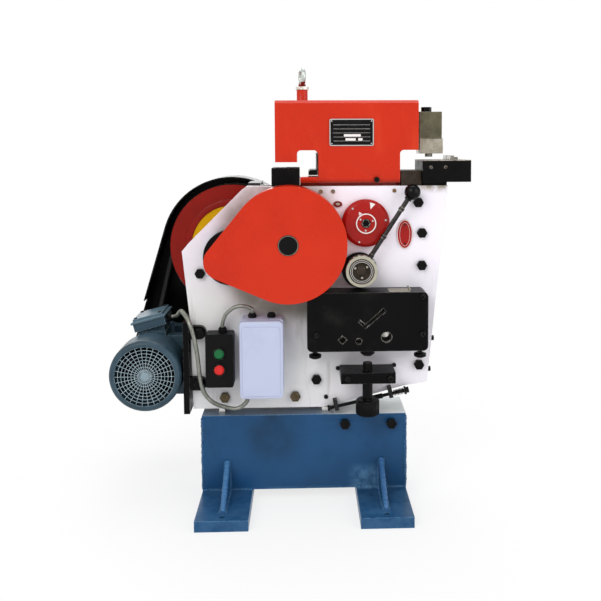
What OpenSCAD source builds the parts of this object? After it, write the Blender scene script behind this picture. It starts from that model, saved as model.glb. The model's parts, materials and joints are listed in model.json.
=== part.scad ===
/* [Stand] */
// Width of the stand's box
stand_w = 490; // [460:1:560]
// Height of the stand's top above the floor
stand_h = 208; // [190:1:260]
// Depth of the stand's box
stand_d = 120; // [112:1:160]
// Wall thickness of the stand's box
stand_wall = 12; // [8:1:16]
// Width of each foot plate
foot_w = 120; // [90:1:150]
// Length of each foot plate, front to back
foot_len = 430; // [410:1:520]
// Thickness of each foot plate
foot_t = 25; // [16:1:30]
// Height of the gussets above the feet
gusset_h = 72; // [50:1:110]
// Reach of the gussets in front of the box
gusset_len = 118; // [80:1:124]
// Thickness of the gussets
gusset_t = 12; // [8:1:16]
// Diameter of the floor bolt holes
anchor_d = 14; // [10:1:18]
// Distance between the floor bolt holes, left to right
anchor_dx = 370; // [330:1:390]
// Distance from the floor bolt holes to the ends of the feet
anchor_edge = 19; // [14:1:21]

/* [Frame] */
// Height of the seat blocks under the frame
seat_h = 13; // [8:1:20]
// Height of the two frame plates
frame_h = 535; // [530:1:580]
// Reach of the frame plates to the left of the middle
frame_left = 288; // [280:1:310]
// Reach of the frame plates to the right of the middle
frame_right = 346; // [340:1:370]
// Thickness of each frame plate
plate_t = 18; // [14:1:22]
// Space between the two frame plates
plate_gap = 54; // [50:1:60]
// Diameter of the frame bolts
bolt_d = 16; // [12:1:18]
// Width of the bolt heads across the flats
bolt_af = 22; // [20:1:28]
// Height of the bolt heads
bolt_head_h = 10; // [7:1:11]
// Outer diameter of the distance tubes
spacer_d = 36; // [30:1:38]

/* [Ram] */
// Reach of the ram's head to the left
head_left = 65; // [60:1:72]
// Reach of the ram's head to the right
head_right = 276; // [270:1:280]
// Height of the ram's head above its throats
head_h = 118; // [100:1:130]
// Chamfer along the top edges of the ram's head
head_bevel = 7; // [3:1:10]
// Height of the throats' arches above the frame
lip_h = 85; // [80:1:90]
// Width of the left arm of the head
arm_w = 52; // [46:1:56]
// Left face of the neck
neck_left = 36; // [34:1:44]
// Right face of the neck
neck_right = 232; // [220:1:233]
// Gap between the head and the frame at rest
head_gap = 8; // [7.5:0.5:12]
// Running clearance on each side of a sliding piece
slide_clear = 0.3; // [0.2:0.05:0.5]
// Bore clearance of shafts in their bearings, on the radius
run_clear = 0.05; // [0.02:0.01:0.1]
// Offset of the eccentric
throw = 8; // [4:0.5:8]

/* [Punch and notch] */
// Height of the notching die
notch_h = 44; // [38:1:46]
// Width of the notching die
notch_w = 67; // [60:1:72]
// Height of the block in the right throat
throat_h = 36; // [30:1:44]
// Width of the punching table
table_w = 115; // [100:1:140]
// Depth of the punching table
table_d = 130; // [110:1:150]
// Height of the punching table
table_h = 52; // [40:1:56]
// Thickness of the pad under the table
bolster_h = 9; // [5:1:12]
// Width of the punch holder
holder_w = 54; // [46:1:56]
// Height of the punch holder
holder_h = 64; // [50:1:70]
// Height of the tool block under the punch holder
tool_h = 36; // [28:1:38]
// Diameter of the punch
punch_d = 18; // [10:1:24]
// Length of the punch below its block
punch_len = 8; // [6:1:13]
// Thickness of the name plate
name_plate_t = 2; // [1:0.5:4]
// Outer diameter of the lifting eye
eye_d = 48; // [40:1:60]
// Height of the neck under the lifting eye
eye_neck = 27; // [15:1:45]
// Section of the lifting eye
eye_bar = 11; // [8:1:14]

/* [Shear] */
// Width of the shear box
box_w = 282; // [276:1:286]
// Height of the shear box
box_h = 128; // [124:1:136]
// Rise of the shear box's cover above its pocket
box_rise = 10; // [6:1:10]
// Depth of the shear box
box_d = 68; // [60:1:80]
// Front wall of the shear box
box_wall = 12; // [8:1:16]
// Thickness of each shear blade
blade_t = 18; // [12:1:20]
// Width of the angle slot
angle_slot = 8; // [6:0.5:10]
// Side of the square bar hole
square_hole = 14; // [10:1:18]
// Diameter of the small round bar hole
small_hole_d = 14; // [10:1:18]
// Diameter of the large round bar hole
large_hole_d = 24; // [16:1:28]
// Diameter of the hold-down screw
jack_d = 24; // [16:1:26]
// Diameter of the hold-down screw's knob
jack_knob_d = 55; // [44:1:60]
// Height of the hold-down screw's knob
jack_knob_h = 36; // [28:1:37]

/* [Drive] */
// Tooth module of the gears
gear_module = 3.5; // [3:0.1:3.6]
// Teeth of the pinion
pinion_teeth = 18; // [16:1:20]
// Teeth of the large gear
gear_teeth = 72; // [68:1:74]
// Face width of the gears
gear_w = 34; // [24:1:36]
// Diameter of the pinion shaft
pinion_shaft_d = 40; // [34:1:44]
// Diameter of the eccentric shaft's journals
journal_d = 60; // [50:1:62]
// Radius of the flywheel
flywheel_r = 165; // [150:1:175]
// Width of the flywheel's rim
flywheel_w = 85; // [76:1:95]
// Radius of the motor pulley
pulley_r = 44; // [42:1:50]
// Depth of the gear guard
guard_d = 75; // [72:1:85]
// Thickness of the sheet guards
guard_t = 3; // [2:0.5:4]
// Radius of the bearing flanges
flange_r = 66; // [62:1:70]
// Thickness of the bearing flanges
flange_t = 20; // [18:1:22]

/* [Motor] */
// Radius of the motor's fan cowl
cowl_r = 86; // [80:1:88]
// Length of the motor without its shaft
motor_len = 275; // [265:1:280]
// Radius of the motor's finned body
motor_r = 74; // [68:1:76]
// Height of the motor's axis above its feet
motor_foot = 90; // [88:1:96]
// Diameter of the motor's shaft
motor_shaft_d = 24; // [19:1:28]
// Height of the motor's terminal box
term_h = 20; // [18:1:36]
// Thickness of the motor bracket
bracket_t = 14; // [10:1:15]

/* [Controls] */
// Radius of the round cap
cap_r = 57; // [50:1:60]
// Thickness of the round cap
cap_t = 18; // [12:1:22]
// Width of the oval badge
badge_w = 38; // [30:1:44]
// Height of the oval badge
badge_h = 70; // [60:1:76]
// Radius of the lever's hub
hub_r = 37; // [34:1:44]
// Length of the lever, hub to knob
lever_len = 221; // [190:1:240]
// Diameter of the lever
lever_d = 11; // [8:0.5:13]
// Radius of the lever's knob
knob_r = 19; // [15:1:22]
// Width of the button box
station_w = 65; // [60:1:72]
// Height of the button box
station_h = 127; // [110:1:140]
// Depth of the button box
station_d = 46; // [40:1:56]
// Diameter of the push buttons
button_d = 23; // [18:1:26]
// Travel of the push buttons
button_travel = 3; // [2:0.5:4]
// Width of the starter box
starter_w = 101; // [92:1:108]
// Height of the starter box
starter_h = 182; // [160:1:190]
// Depth of the starter box
starter_d = 74; // [60:1:84]
// Diameter of the conduits
conduit_d = 11; // [9:0.5:13]

/* [Hidden] */
$fn = 48;
plate_half = plate_gap / 2;
face_y = -plate_half - plate_t;
back_y = -face_y;
frame_low = stand_h + seat_h;
plate_top = frame_low + frame_h;
foot_x = stand_w / 2 - foot_w / 2;
anchor_dy = foot_len - 2 * anchor_edge;

// frame bolts, each with a distance tube, by x and height above the frame's foot
guide_x = -118;
ram_guides = [[guide_x, frame_h - 56], [guide_x, 302]];
frame_bolts = [
    [-245, 329], [275, frame_h - 40], [284, (frame_h - 40 + 344) / 2 + 2.5], [284, 344],
    [278, 102], [30, 69], [-21, 28], [-190, 28], each ram_guides];
edge_studs = [164, 88];
gear_x = -34;
box_top = frame_low + 281;
gear_z = box_top + 122;
pinion_r = gear_module * pinion_teeth / 2;
gear_r = gear_module * gear_teeth / 2;
axle_slope = 193.8;
pinion_x = gear_x + (pinion_r + gear_r) * cos(axle_slope);
pinion_z = gear_z + (pinion_r + gear_r) * sin(axle_slope);
flange_shift = 17;
bearing_d = pinion_shaft_d + 32;
bearing_w = 24;
bearing_y = back_y + flange_t / 2 - 4;
bush_wall = 8;
bush_rim = 5;
gear_y = face_y - 27 - gear_w;
guard_y = face_y - guard_d;
guard_big_r = gear_r + gear_module + 6.5;
guard_small_r = pinion_r + gear_module + 6;

ram_t = plate_gap - 2 * slide_clear;
ram_left = guide_x + spacer_d / 2 + slide_clear;
ram_right = 275 - spacer_d / 2 - slide_clear;
ram_top = plate_top - 11;
ram_low = box_top + 18;
cam_r = journal_d / 2 + 2;
window_w = 2 * (cam_r + throw + 2);
stroke_up = 9;
stroke_down = 7;
lip_z = plate_top + lip_h;
head_top = lip_z + head_h;
notch_right = neck_left - 43;
throat_left = neck_right + 3;
table_left = head_right + 7;
table_top = plate_top + bolster_h + table_h;
punch_x = head_right + 4 + holder_w / 2;
holder_low = table_top + 51;

box_cx = 149;
box_y = face_y - box_d;
pocket_w = 180;
pocket_h = 104;
pocket_z = box_top - 12 - pocket_h;
jack_y = face_y - 46;
jack_bar_z = box_top - box_h - 76;
jack_bar_h = 26;
jack_bar_top = jack_bar_z + jack_bar_h;

flywheel_y = back_y + 120;
grooves = [flywheel_y + flywheel_w - 36, flywheel_y + flywheel_w - 16];
belt_w = 10;
belt_t = 9;
groove_depth = 11;
belt_gap = 0.3;
motor_x = -frame_left + 1 - motor_foot;
motor_z = stand_h + 100;
motor_y = flywheel_y + flywheel_w - 45 - motor_len;
cowl_len = 80;
lever_angle = 57;
lever_x = 137;
lever_z = box_top + 55;
lever_y = face_y - 30;
cap_x = 149;
cap_z = lever_z + hub_r + 17 + cap_r;
neck_screw_z = max(plate_top + 15, cap_z + cap_r + 46);
station_x = -198;
station_z = stand_h + 141;
starter_x = -98;
starter_z = stand_h + 149;
rod_slope = 12.6;
rod_x = 62;
rod_z = frame_low + 1;
rod_y = face_y - 12;
stop_x = table_left + 60;
thumb_x = [box_cx - 122, box_cx + 127];
box_screws = [
    [box_cx - 119, box_top - 88], [box_cx + 128, box_top - 87], [box_cx + 128, box_top + box_rise - 10]];
jack_screw_x = [box_cx - 47, box_cx + 52];
jack_low = jack_bar_z - 80;
bracket_bolts = [stand_h + 202, stand_h + 78];
motor_feet = [motor_y + cowl_len + 34, motor_y + cowl_len + 144];
station_gland_y = face_y - 18;
button_z = [station_z + 18, station_z - 20];
box_tilt = 15;
bracket_bolt_x = -frame_left + 40;
starter_y = face_y - starter_d;
cover_d = 24;
gland_y = face_y - 25;
starter_ways = [-23, 22];
starter_low_x = starter_x - 37;
station_y = face_y - station_d;

// a place given from the middle of the terminal box's foot
function motor_top(x, y, z) = [
    motor_x + x * cos(box_tilt) - z * sin(box_tilt), motor_y + cowl_len + 64 + y,
    motor_z + motor_r + 10 + x * sin(box_tilt) + z * cos(box_tilt)];

// the ways of the two conduits, from gland to gland
motor_route = [
    motor_top(44, -20, 9 + term_h / 2), motor_top(54, -20, 9 + term_h / 2),
    motor_top(66, -20, 9 + term_h / 2),
    [-304, 16, 445], [-289, -36, 454], [-270, -71, 439], [-256, -79, 396], [-249, -79, 348],
    [-245, -79, 308], [-236, -77, 271], [-217, -72, 246], [-188, -68, 232], [-158, -68, 228],
    [starter_x - 39, gland_y, starter_z - starter_h / 2 - 22],
    [starter_low_x, gland_y, starter_z - starter_h / 2 - 13],
    [starter_low_x, gland_y, starter_z - starter_h / 2 - 9],
    [starter_low_x, gland_y, starter_z - starter_h / 2 - 4]];
station_route = [
    [station_x + 6, station_gland_y, station_z + station_h / 2 + 4],
    [station_x + 6, station_gland_y, station_z + station_h / 2 + 12],
    [station_x + 6, station_gland_y, station_z + station_h / 2 + 20], [-184, -64, 454], [-164, -67, 471],
    [-142, -69, 475], [starter_x - 25, gland_y, starter_z + starter_h / 2 + 21],
    [starter_x - 23, gland_y, starter_z + starter_h / 2 + 12],
    [starter_x - 23, gland_y, starter_z + starter_h / 2 + 8],
    [starter_x - 23, gland_y, starter_z + starter_h / 2 + 4]];

// a front view outline, X to the right and Z up, drawn as 2D and given a depth from y0 to y1
module through(y0, y1) {
    translate([0, y1, 0]) rotate([90, 0, 0]) linear_extrude(y1 - y0) children();
}

// a round bar along Y
module bar_y(r, y0, y1) {
    translate([0, y0, 0]) rotate([-90, 0, 0]) cylinder(r = r, h = y1 - y0);
}

// a solid of revolution about an axis along Y, from points [radius, y]
module turned_y(points) {
    rotate([-90, 0, 0]) rotate_extrude() polygon(points);
}

module hexagon(af) {
    circle(r = af / sqrt(3), $fn = 6);
}

// a rectangle from corner to corner with round corners
module round_rect(x0, z0, x1, z1, r) {
    translate([x0 + r, z0]) square([x1 - x0 - 2 * r, z1 - z0]);
    translate([x0, z0 + r]) square([x1 - x0, z1 - z0 - 2 * r]);
    for (x = [x0 + r, x1 - r], z = [z0 + r, z1 - r]) translate([x, z]) circle(r);
}

// a concave corner fillet whose corner lies at x, z and which fills towards sx, sz
module fillet(x, z, sx, sz, r) {
    translate([x, z]) difference() {
        translate([sx > 0 ? 0 : -r, sz > 0 ? 0 : -r]) square(r);
        translate([sx * r, sz * r]) circle(r);
    }
}

// two circles with the two straight lines that touch both, tucked a hair inside them
module two_circles(a, ra, b, rb, tuck = 0.02) {
    d = b - a;
    len = norm(d);
    base = atan2(d[1], d[0]);
    turn = acos((ra - rb) / len);
    up = [cos(base + turn), sin(base + turn)];
    down = [cos(base - turn), sin(base - turn)];
    translate(a) circle(ra);
    translate(b) circle(rb);
    polygon([
        a + (ra - tuck) * up, b + (rb - tuck) * up,
        b + (rb - tuck) * down, a + (ra - tuck) * down]);
}

// ---- stand and frame ----

module base_stand() color("steelblue") difference() {
    union() {
        for (s = [-1, 1]) {
            translate([-stand_w / 2, s > 0 ? stand_d / 2 - stand_wall : -stand_d / 2, foot_t])
                cube([stand_w, stand_wall, stand_h - foot_t]);
            translate([s > 0 ? stand_w / 2 - stand_wall : -stand_w / 2, -stand_d / 2, foot_t])
                cube([stand_wall, stand_d, stand_h - foot_t]);
            translate([s * foot_x - foot_w / 2, -foot_len / 2, 0]) cube([foot_w, foot_len, foot_t]);
            for (back = [-1, 1])
                translate([s * foot_x - gusset_t / 2, 0, 0])
                    rotate([90, 0, 90]) linear_extrude(gusset_t)
                        polygon([
                            [back * stand_d / 2, foot_t],
                            [back * (stand_d / 2 + gusset_len), foot_t],
                            [back * (stand_d / 2 + gusset_len), foot_t + 6],
                            [back * stand_d / 2, foot_t + gusset_h]]);
        }
        translate([-stand_w / 2, -stand_d / 2, stand_h - stand_wall]) cube([stand_w, stand_d, stand_wall]);
        for (x = [98, 210])
            translate([x - 18, -stand_d / 2 + stand_wall - 0.5, stand_h - 45]) cube([36, 20, 40]);
    }
    for (x = [-1, 1], y = [-1, 1])
        translate([x * anchor_dx / 2, y * anchor_dy / 2, -1]) cylinder(d = anchor_d, h = foot_t + 2);
    for (x = [98, 210])
        translate([x, 0, stand_h - 24]) bar_y(bolt_d / 2, -stand_d / 2 - 1, -stand_d / 2 + stand_wall + 14);
}

module plate_outline() {
    polygon([
        [-134, plate_top], [frame_right, plate_top], [frame_right - 48, frame_low + 59],
        [242, frame_low + 50], [130, frame_low + 20], [46, frame_low], [-frame_left + 22, frame_low],
        [-frame_left + 17, frame_low + 216], [-frame_left, frame_low + 382],
        [-frame_left + 17, frame_low + 402], [-144, plate_top - 7]]);
}

module plate_holes() {
    for (p = frame_bolts) translate([p[0], frame_low + p[1]]) circle(d = bolt_d);
    for (z = bracket_bolts) translate([bracket_bolt_x, z]) circle(d = bolt_d);
    translate([pinion_x, pinion_z]) circle(d = bearing_d + 0.2);
    translate([gear_x, gear_z]) circle(r = journal_d / 2 + bush_wall);
}

// x of the right edge of the frame plates at a height above their foot
function edge_x(z) = frame_right - 48 + 48 * (z - 59) / (frame_h - 59);

module front_plate() color("lavender") union() {
    difference() {
        through(face_y, -plate_half) difference() {
            plate_outline();
            plate_holes();
            translate([box_cx - pocket_w / 2 - 2, pocket_z - 12]) square([pocket_w + 4, pocket_h + 20]);
        }
        for (z = edge_studs) edge_stud_place(z) translate([0, 0, -12]) cylinder(d = 6, h = 24);
    }
    // two lugs that carry the trip rod
    for (s = [16, 150])
        translate([rod_x + s * cos(rod_slope), 0, rod_z + s * sin(rod_slope)])
            rotate([0, -rod_slope, 0])
                translate([-5, rod_y - 8, -8]) difference() {
                    cube([10, face_y - rod_y + 8.5, 26]);
                    translate([-1, 8, 8]) rotate([0, 90, 0]) cylinder(r = 4 + slide_clear, h = 12);
                }
}

module rear_plate() color("lavender") through(plate_half, back_y) difference() {
    plate_outline();
    plate_holes();
    translate([box_cx - 70, pocket_z]) square([140, pocket_h]);
}

module frame_spacers() color("gray") {
    for (p = frame_bolts) translate([p[0], 0, frame_low + p[1]]) difference() {
        bar_y(spacer_d / 2, -plate_half, plate_half);
        bar_y(bolt_d / 2, -plate_half - 1, plate_half + 1);
    }
    for (x = [-205, 43]) translate([x, face_y, stand_h]) cube([14, back_y - face_y, seat_h]);
}

module hex_bolt(y0, y1) {
    bar_y(bolt_d / 2 - 0.2, y0 - 0.5, y1 + 0.5);
    through(y0 - bolt_head_h, y0) hexagon(bolt_af);
}

module hex_bolts() color("#222222") {
    for (p = frame_bolts) translate([p[0], 0, frame_low + p[1]]) {
        hex_bolt(face_y, back_y);
        through(back_y, back_y + bolt_head_h) hexagon(bolt_af);
    }
    for (x = [98, 210])
        translate([x, 0, stand_h - 24]) hex_bolt(-stand_d / 2, -stand_d / 2 + stand_wall + 10);
    for (z = bracket_bolts) translate([bracket_bolt_x, 0, z])
        hex_bolt(face_y - bracket_t, -plate_half - 6);
}

module edge_stud_place(z) translate([edge_x(z), -plate_half - plate_t / 2, frame_low + z])
    rotate([0, 90, 0]) children();

// a socket head screw whose head stands on the face at y
module cap_screw(x, z, y, len) {
    translate([x, 0, z]) turned_y([
        [0, y - 3], [3.2, y - 3], [3.2, y - 7], [6, y - 7], [6.5, y - 6],
        [6.5, y], [4, y], [4, y + len], [0, y + len]]);
}

module cap_screws() color("#222222") {
    for (p = box_screws) cap_screw(p[0], p[1], box_y, 9);
    for (x = jack_screw_x) cap_screw(x, jack_bar_z + jack_bar_h / 2, jack_y - 25, 9);
    for (z = edge_studs) edge_stud_place(z) {
        translate([0, 0, -11]) cylinder(d = 5.9, h = 14);
        translate([0, 0, 1]) linear_extrude(6) hexagon(11);
    }
}

// ---- punching and notching side ----

module notch_die() color("#1c1c1c") difference() {
    through(face_y, back_y)
        round_rect(notch_right - notch_w, plate_top, notch_right, plate_top + notch_h, 3);
    translate([notch_right - 30, -20, plate_top + notch_h - 14]) cube([31, 40, 15]);
}

module throat_block() color("#2a211c") translate([throat_left, face_y, plate_top])
    cube([table_left - throat_left, back_y - face_y, throat_h]);

module punch_table() color("#202020") difference() {
    union() {
        translate([table_left, -table_d / 2, plate_top + bolster_h]) cube([table_w, table_d, table_h]);
        translate([table_left + 3, face_y, plate_top]) cube([58, back_y - face_y, bolster_h + 1]);
    }
    translate([punch_x, 0, table_top - 16]) cylinder(d = 40, h = 17);
    translate([punch_x, 0, plate_top - 1]) cylinder(d = punch_d + 8, h = table_h + 20);
    for (y = [-1, 1])
        translate([stop_x - 2, y * 34 - 4, table_top - 9]) cube([table_w - 60 + 3, 8, 10]);
}

module punch_die() color("silver") translate([punch_x, 0, table_top - 16]) difference() {
    cylinder(d = 39.9, h = 16);
    translate([0, 0, -1]) cylinder(d = punch_d + 1, h = 18);
}

// a stop bar that slides along two slots in the table
module table_stop() color("#8a8a84") {
    translate([stop_x + 8, -46, table_top + slide_clear]) cube([10, 92, 10]);
    translate([stop_x + 18, -20, table_top + slide_clear]) cube([14, 14, 6]);
    for (y = [-1, 1])
        translate([stop_x + 9, y * 34 - 4 + slide_clear, table_top - 8])
            cube([8, 8 - 2 * slide_clear, 9]);
}

module ram_outline_thick() {
    round_rect(-head_left, lip_z - 10, head_right, head_top, 3);
    translate([neck_left, plate_top + head_gap]) square([neck_right - neck_left, lip_h]);
    translate([-head_left, lip_z - 28]) square([arm_w, 34]);
    translate([notch_right + 1, plate_top + head_gap]) square([neck_left - notch_right, 14]);
}

module ram_outline_thin() {
    difference() {
        union() {
            translate([ram_left, ram_low]) square([ram_right - ram_left, ram_top - ram_low]);
            translate([notch_right + 1, ram_top - 1]) square([neck_right - notch_right - 1, 24]);
            translate([box_cx - 100, pocket_z - 26]) square([200, ram_low - pocket_z + 27]);
        }
        translate([gear_x - window_w / 2, gear_z - window_w / 2 - stroke_up])
            square([window_w, window_w + stroke_up + stroke_down]);
        translate([box_cx - 70, pocket_z - 8]) square([140, pocket_h + 16]);
    }
}

module ram() color("orangered") difference() {
    union() {
        through(face_y, back_y) difference() {
            ram_outline_thick();
            translate([-head_left + arm_w, lip_z - 25]) square([neck_left + head_left - arm_w, 25]);
            translate([neck_right, lip_z - 25]) square([100, 25]);
        }
        through(face_y, back_y) {
            fillet(-head_left + arm_w, lip_z, 1, -1, 9);
            fillet(neck_left, lip_z, -1, -1, 9);
            fillet(neck_right, lip_z, 1, -1, 9);
        }
        through(-ram_t / 2, ram_t / 2) ram_outline_thin();
        translate([head_right - 1, -24, lip_z + 28]) cube([5, 48, 64]);
        translate([0, 0, head_top - 1]) cylinder(d = 27, h = eye_neck + 1);
    }
    for (s = [-1, 1])
        translate([-head_left - 1, 0, head_top]) rotate([90, 0, 90])
            linear_extrude(head_left + head_right + 2) polygon([
                [s * (back_y + 1), 1], [s * (back_y - head_bevel - 1), 1],
                [s * (back_y + 1), -head_bevel - 1]]);
    translate([0, 0, head_top - 40]) cylinder(d = 16, h = 80);
    translate([176, 0, neck_screw_z]) bar_y(4.1, face_y - 1, face_y + 16);
}

module name_plate() color("#303030") through(face_y - name_plate_t, face_y)
    round_rect(64, lip_z + 10, 169, lip_z + 74, 4);

module lifting_eye() color("darkred") {
    translate([0, 0, head_top + eye_neck]) {
        cylinder(d = 33, h = 7);
        translate([0, 0, -60]) cylinder(d = 15.6, h = 62);
        translate([0, 0, 6]) cylinder(d = 18, h = 7);
        translate([0, 0, 6 + eye_d / 2 + 1]) rotate([0, 0, 12]) rotate([0, 90, 0])
            rotate_extrude() translate([eye_d / 2 - eye_bar / 2, 0]) circle(d = eye_bar);
    }
}

module punch_holder() color("#5d5a4a") difference() {
    translate([head_right + 4, -30, holder_low]) cube([holder_w, 60, holder_h]);
    translate([punch_x - 6, 0, holder_low + 24]) cylinder(d = 12, h = holder_h);
}

module head_screws() color("#222222") {
    translate([punch_x - 6, 0, holder_low + holder_h]) {
        linear_extrude(12) hexagon(bolt_af);
        translate([0, 0, -30]) cylinder(d = 11.6, h = 31);
    }
    cap_screw(176, neck_screw_z, face_y, 13);
}

module punch_tool() color("#8c8878") translate([punch_x + 2, 0, holder_low - tool_h]) difference() {
    translate([-28, -28, 0]) cube([56, 56, tool_h]);
    translate([-2, 0, -1]) cylinder(d = punch_d + 4.1, h = 22);
}

module punch() color("silver") translate([punch_x, 0, holder_low - tool_h]) {
    translate([0, 0, -punch_len]) cylinder(d = punch_d, h = punch_len + 12);
    translate([0, 0, 12]) cylinder(d = punch_d + 4, h = 9);
}

// ---- shear box ----

// the bar apertures, drawn about the shear box's middle
module apertures() {
    v = [box_cx - 5, box_top - 69];
    translate(v) rotate(41) translate([-angle_slot / 2, -angle_slot / 2]) square([62, angle_slot]);
    translate(v) rotate(139) translate([0, -angle_slot / 2]) square([20, angle_slot]);
    translate([box_cx - 59, box_top - 100]) rotate(45) square(square_hole, center = true);
    translate([box_cx - 21, box_top - 104]) circle(d = small_hole_d);
    translate([box_cx + 44, box_top - 95]) circle(d = large_hole_d);
}

module shear_box() color("#1b1b1b") {
    difference() {
        through(box_y, face_y)
            round_rect(box_cx - box_w / 2, box_top - box_h, box_cx + box_w / 2, box_top + box_rise, 12);
        // the corner behind the gear guard is cut away for the large gear
        translate([gear_x, 0, gear_z]) bar_y(gear_r + gear_module + 3.5, box_y - 1, face_y + 1);
        through(box_y + box_wall, face_y + 1)
            translate([box_cx - pocket_w / 2, pocket_z]) square([pocket_w, pocket_h]);
        through(box_y - 1, box_y + box_wall + 1) apertures();
        for (p = box_screws) translate([p[0], 0, p[1]]) bar_y(4.1, box_y - 1, box_y + 12);
        for (x = thumb_x) translate([x, box_y + 34, box_top - box_h - 1]) cylinder(d = 10, h = 22);
    }
    // dome over the hold-down screw
    translate([box_cx + 1, jack_y, box_top - box_h - 9]) {
        cylinder(d = 34, h = 10);
        translate([0, 0, -5]) cylinder(r1 = 11, r2 = 17, h = 5);
    }
}

module blade(y0) {
    through(y0, y0 + blade_t) difference() {
        translate([box_cx - pocket_w / 2 + slide_clear, pocket_z + slide_clear])
            square([pocket_w - 2 * slide_clear, pocket_h - 2 * slide_clear]);
        apertures();
        blade_split();
    }
}

// each blade is in two parts: round and square bar below, angle section above
module blade_split() translate([box_cx - pocket_w, box_top - 79]) square([2 * pocket_w, 0.4]);

module fixed_blade() color("dimgray") blade(face_y - blade_t - 0.2);

// the moving blade is bolted to the ram's leg in the window of the front plate
module moving_blade() color("gray") through(face_y + 0.3, -ram_t / 2) difference() {
    translate([box_cx - pocket_w / 2 + 4, pocket_z + 4]) square([pocket_w - 8, pocket_h - 8]);
    apertures();
    blade_split();
}

module thumb_screws() color("#262626")
    for (x = thumb_x) translate([x, box_y + 34, box_top - box_h]) {
        translate([0, 0, -12]) cylinder(d = 9.6, h = 30);
        rotate_extrude() polygon([[0, -24], [9, -24], [14, -21], [14, -15], [9, -12], [0, -12]]);
    }

module jack_bracket() color("#202020") difference() {
    translate([box_cx + 1 - 64, jack_y - 25, jack_bar_z]) cube([128, face_y - jack_y + 25, jack_bar_h]);
    translate([box_cx + 1, jack_y, jack_bar_z - 1])
        cylinder(r = jack_d / 2 + run_clear, h = jack_bar_h + 2);
    for (x = jack_screw_x) translate([x, 0, jack_bar_z + jack_bar_h / 2])
        bar_y(4.1, jack_y - 26, jack_y - 14);
}

module jack_screw() color("#3a3a3a") translate([box_cx + 1, jack_y, 0]) {
    knob_top = jack_low + jack_knob_h;
    knob_half = jack_knob_d / 2;
    translate([0, 0, knob_top - 1]) cylinder(d = jack_d, h = jack_bar_top - knob_top + 3);
    translate([0, 0, jack_low]) rotate_extrude() polygon([
        [0, 0], [knob_half - 3, 0], [knob_half, 3], [knob_half, jack_knob_h - 3],
        [knob_half - 3, jack_knob_h], [0, jack_knob_h]]);
    translate([0, 0, jack_bar_top + 1]) cylinder(d = 10, h = 7);
}

module jack_pad() color("#4a4a48")
    translate([box_cx + 1, jack_y, jack_bar_top + 2 + slide_clear]) difference() {
        cylinder(d = 22, h = 16);
        translate([0, 0, -1]) cylinder(r = 5 + run_clear, h = 8);
    }

// ---- flywheel, gears and guards ----

module bearing_flange(side) {
    translate([pinion_x + flange_shift, 0, pinion_z + 3]) difference() {
        bar_y(flange_r, side > 0 ? back_y : face_y - flange_t, side > 0 ? back_y + flange_t : face_y);
        translate([-flange_shift, 0, -3])
            bar_y(bearing_d / 2 + run_clear, face_y - flange_t - 1, back_y + flange_t + 1);
    }
}

module bearing_flanges() color("#242424") {
    bearing_flange(-1);
    bearing_flange(1);
}

module pinion_bearings() color("silver") for (s = [-1, 1])
    translate([pinion_x, s * bearing_y, pinion_z]) difference() {
        bar_y(bearing_d / 2, -bearing_w / 2, bearing_w / 2);
        bar_y(pinion_shaft_d / 2 + run_clear, -bearing_w, bearing_w);
    }

module eccentric_bushes() color("darkgoldenrod") for (turn = [0, 180])
    translate([gear_x, 0, gear_z]) rotate([0, 0, turn]) difference() {
        union() {
            bar_y(journal_d / 2 + bush_wall - run_clear, face_y, -plate_half);
            bar_y(journal_d / 2 + bush_wall + 6, face_y - bush_rim, face_y);
        }
        bar_y(journal_d / 2 + run_clear, face_y - 10, 0);
    }

// a spur gear outline with straight sided teeth, one tooth centred on the angle given
module gear_outline(teeth, angle) {
    r = gear_module * teeth / 2;
    pitch = 360 / teeth;
    tip = r + 0.85 * gear_module;
    root = r - 1.2 * gear_module;
    polygon([for (i = [0 : teeth - 1], c = [[root, -0.31], [tip, -0.13], [tip, 0.13], [root, 0.31]])
        let (a = angle + (i + c[1]) * pitch) [c[0] * cos(a), c[0] * sin(a)]]);
}

module bull_gear() color("#777777") translate([gear_x, 0, gear_z]) difference() {
    union() {
        through(gear_y, gear_y + gear_w) difference() {
            gear_outline(gear_teeth, axle_slope);
            for (i = [0 : 5]) rotate(60 * i) translate([gear_r * 0.6, 0]) circle(r = gear_r * 0.17);
        }
        bar_y(journal_d / 2 + 14, gear_y, face_y - bush_rim - slide_clear);
    }
    bar_y(journal_d / 2, gear_y - 1, face_y);
}

module eccentric_shaft() color("#888888") translate([gear_x, 0, gear_z]) {
    bar_y(journal_d / 2, gear_y, back_y + bush_rim);
    bar_y(23, guard_y - 2, gear_y + 1);
    bar_y(journal_d / 2 + 8, back_y + bush_rim + slide_clear, back_y + bush_rim + 10);
    bar_y(journal_d / 2 - 4, back_y, back_y + bush_rim + 11);
    translate([0, 0, -throw]) bar_y(cam_r, -plate_half + 1, plate_half - 1);
}

module pinion_shaft() color("#888888") translate([pinion_x, 0, pinion_z]) {
    bar_y(pinion_shaft_d / 2, gear_y, flywheel_y + flywheel_w + 6);
    through(gear_y, gear_y + gear_w) gear_outline(pinion_teeth, axle_slope + 180 + 180 / pinion_teeth);
    bar_y(pinion_shaft_d / 2 + 5, bearing_y + bearing_w / 2 + slide_clear, flywheel_y + 14);
    bar_y(pinion_shaft_d / 2 + 5, gear_y + gear_w - 1, -bearing_y - bearing_w / 2 - slide_clear);
}

module guard_outline(inset)
    two_circles([gear_x, gear_z], guard_big_r - inset, [pinion_x, pinion_z], guard_small_r - inset);

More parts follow.
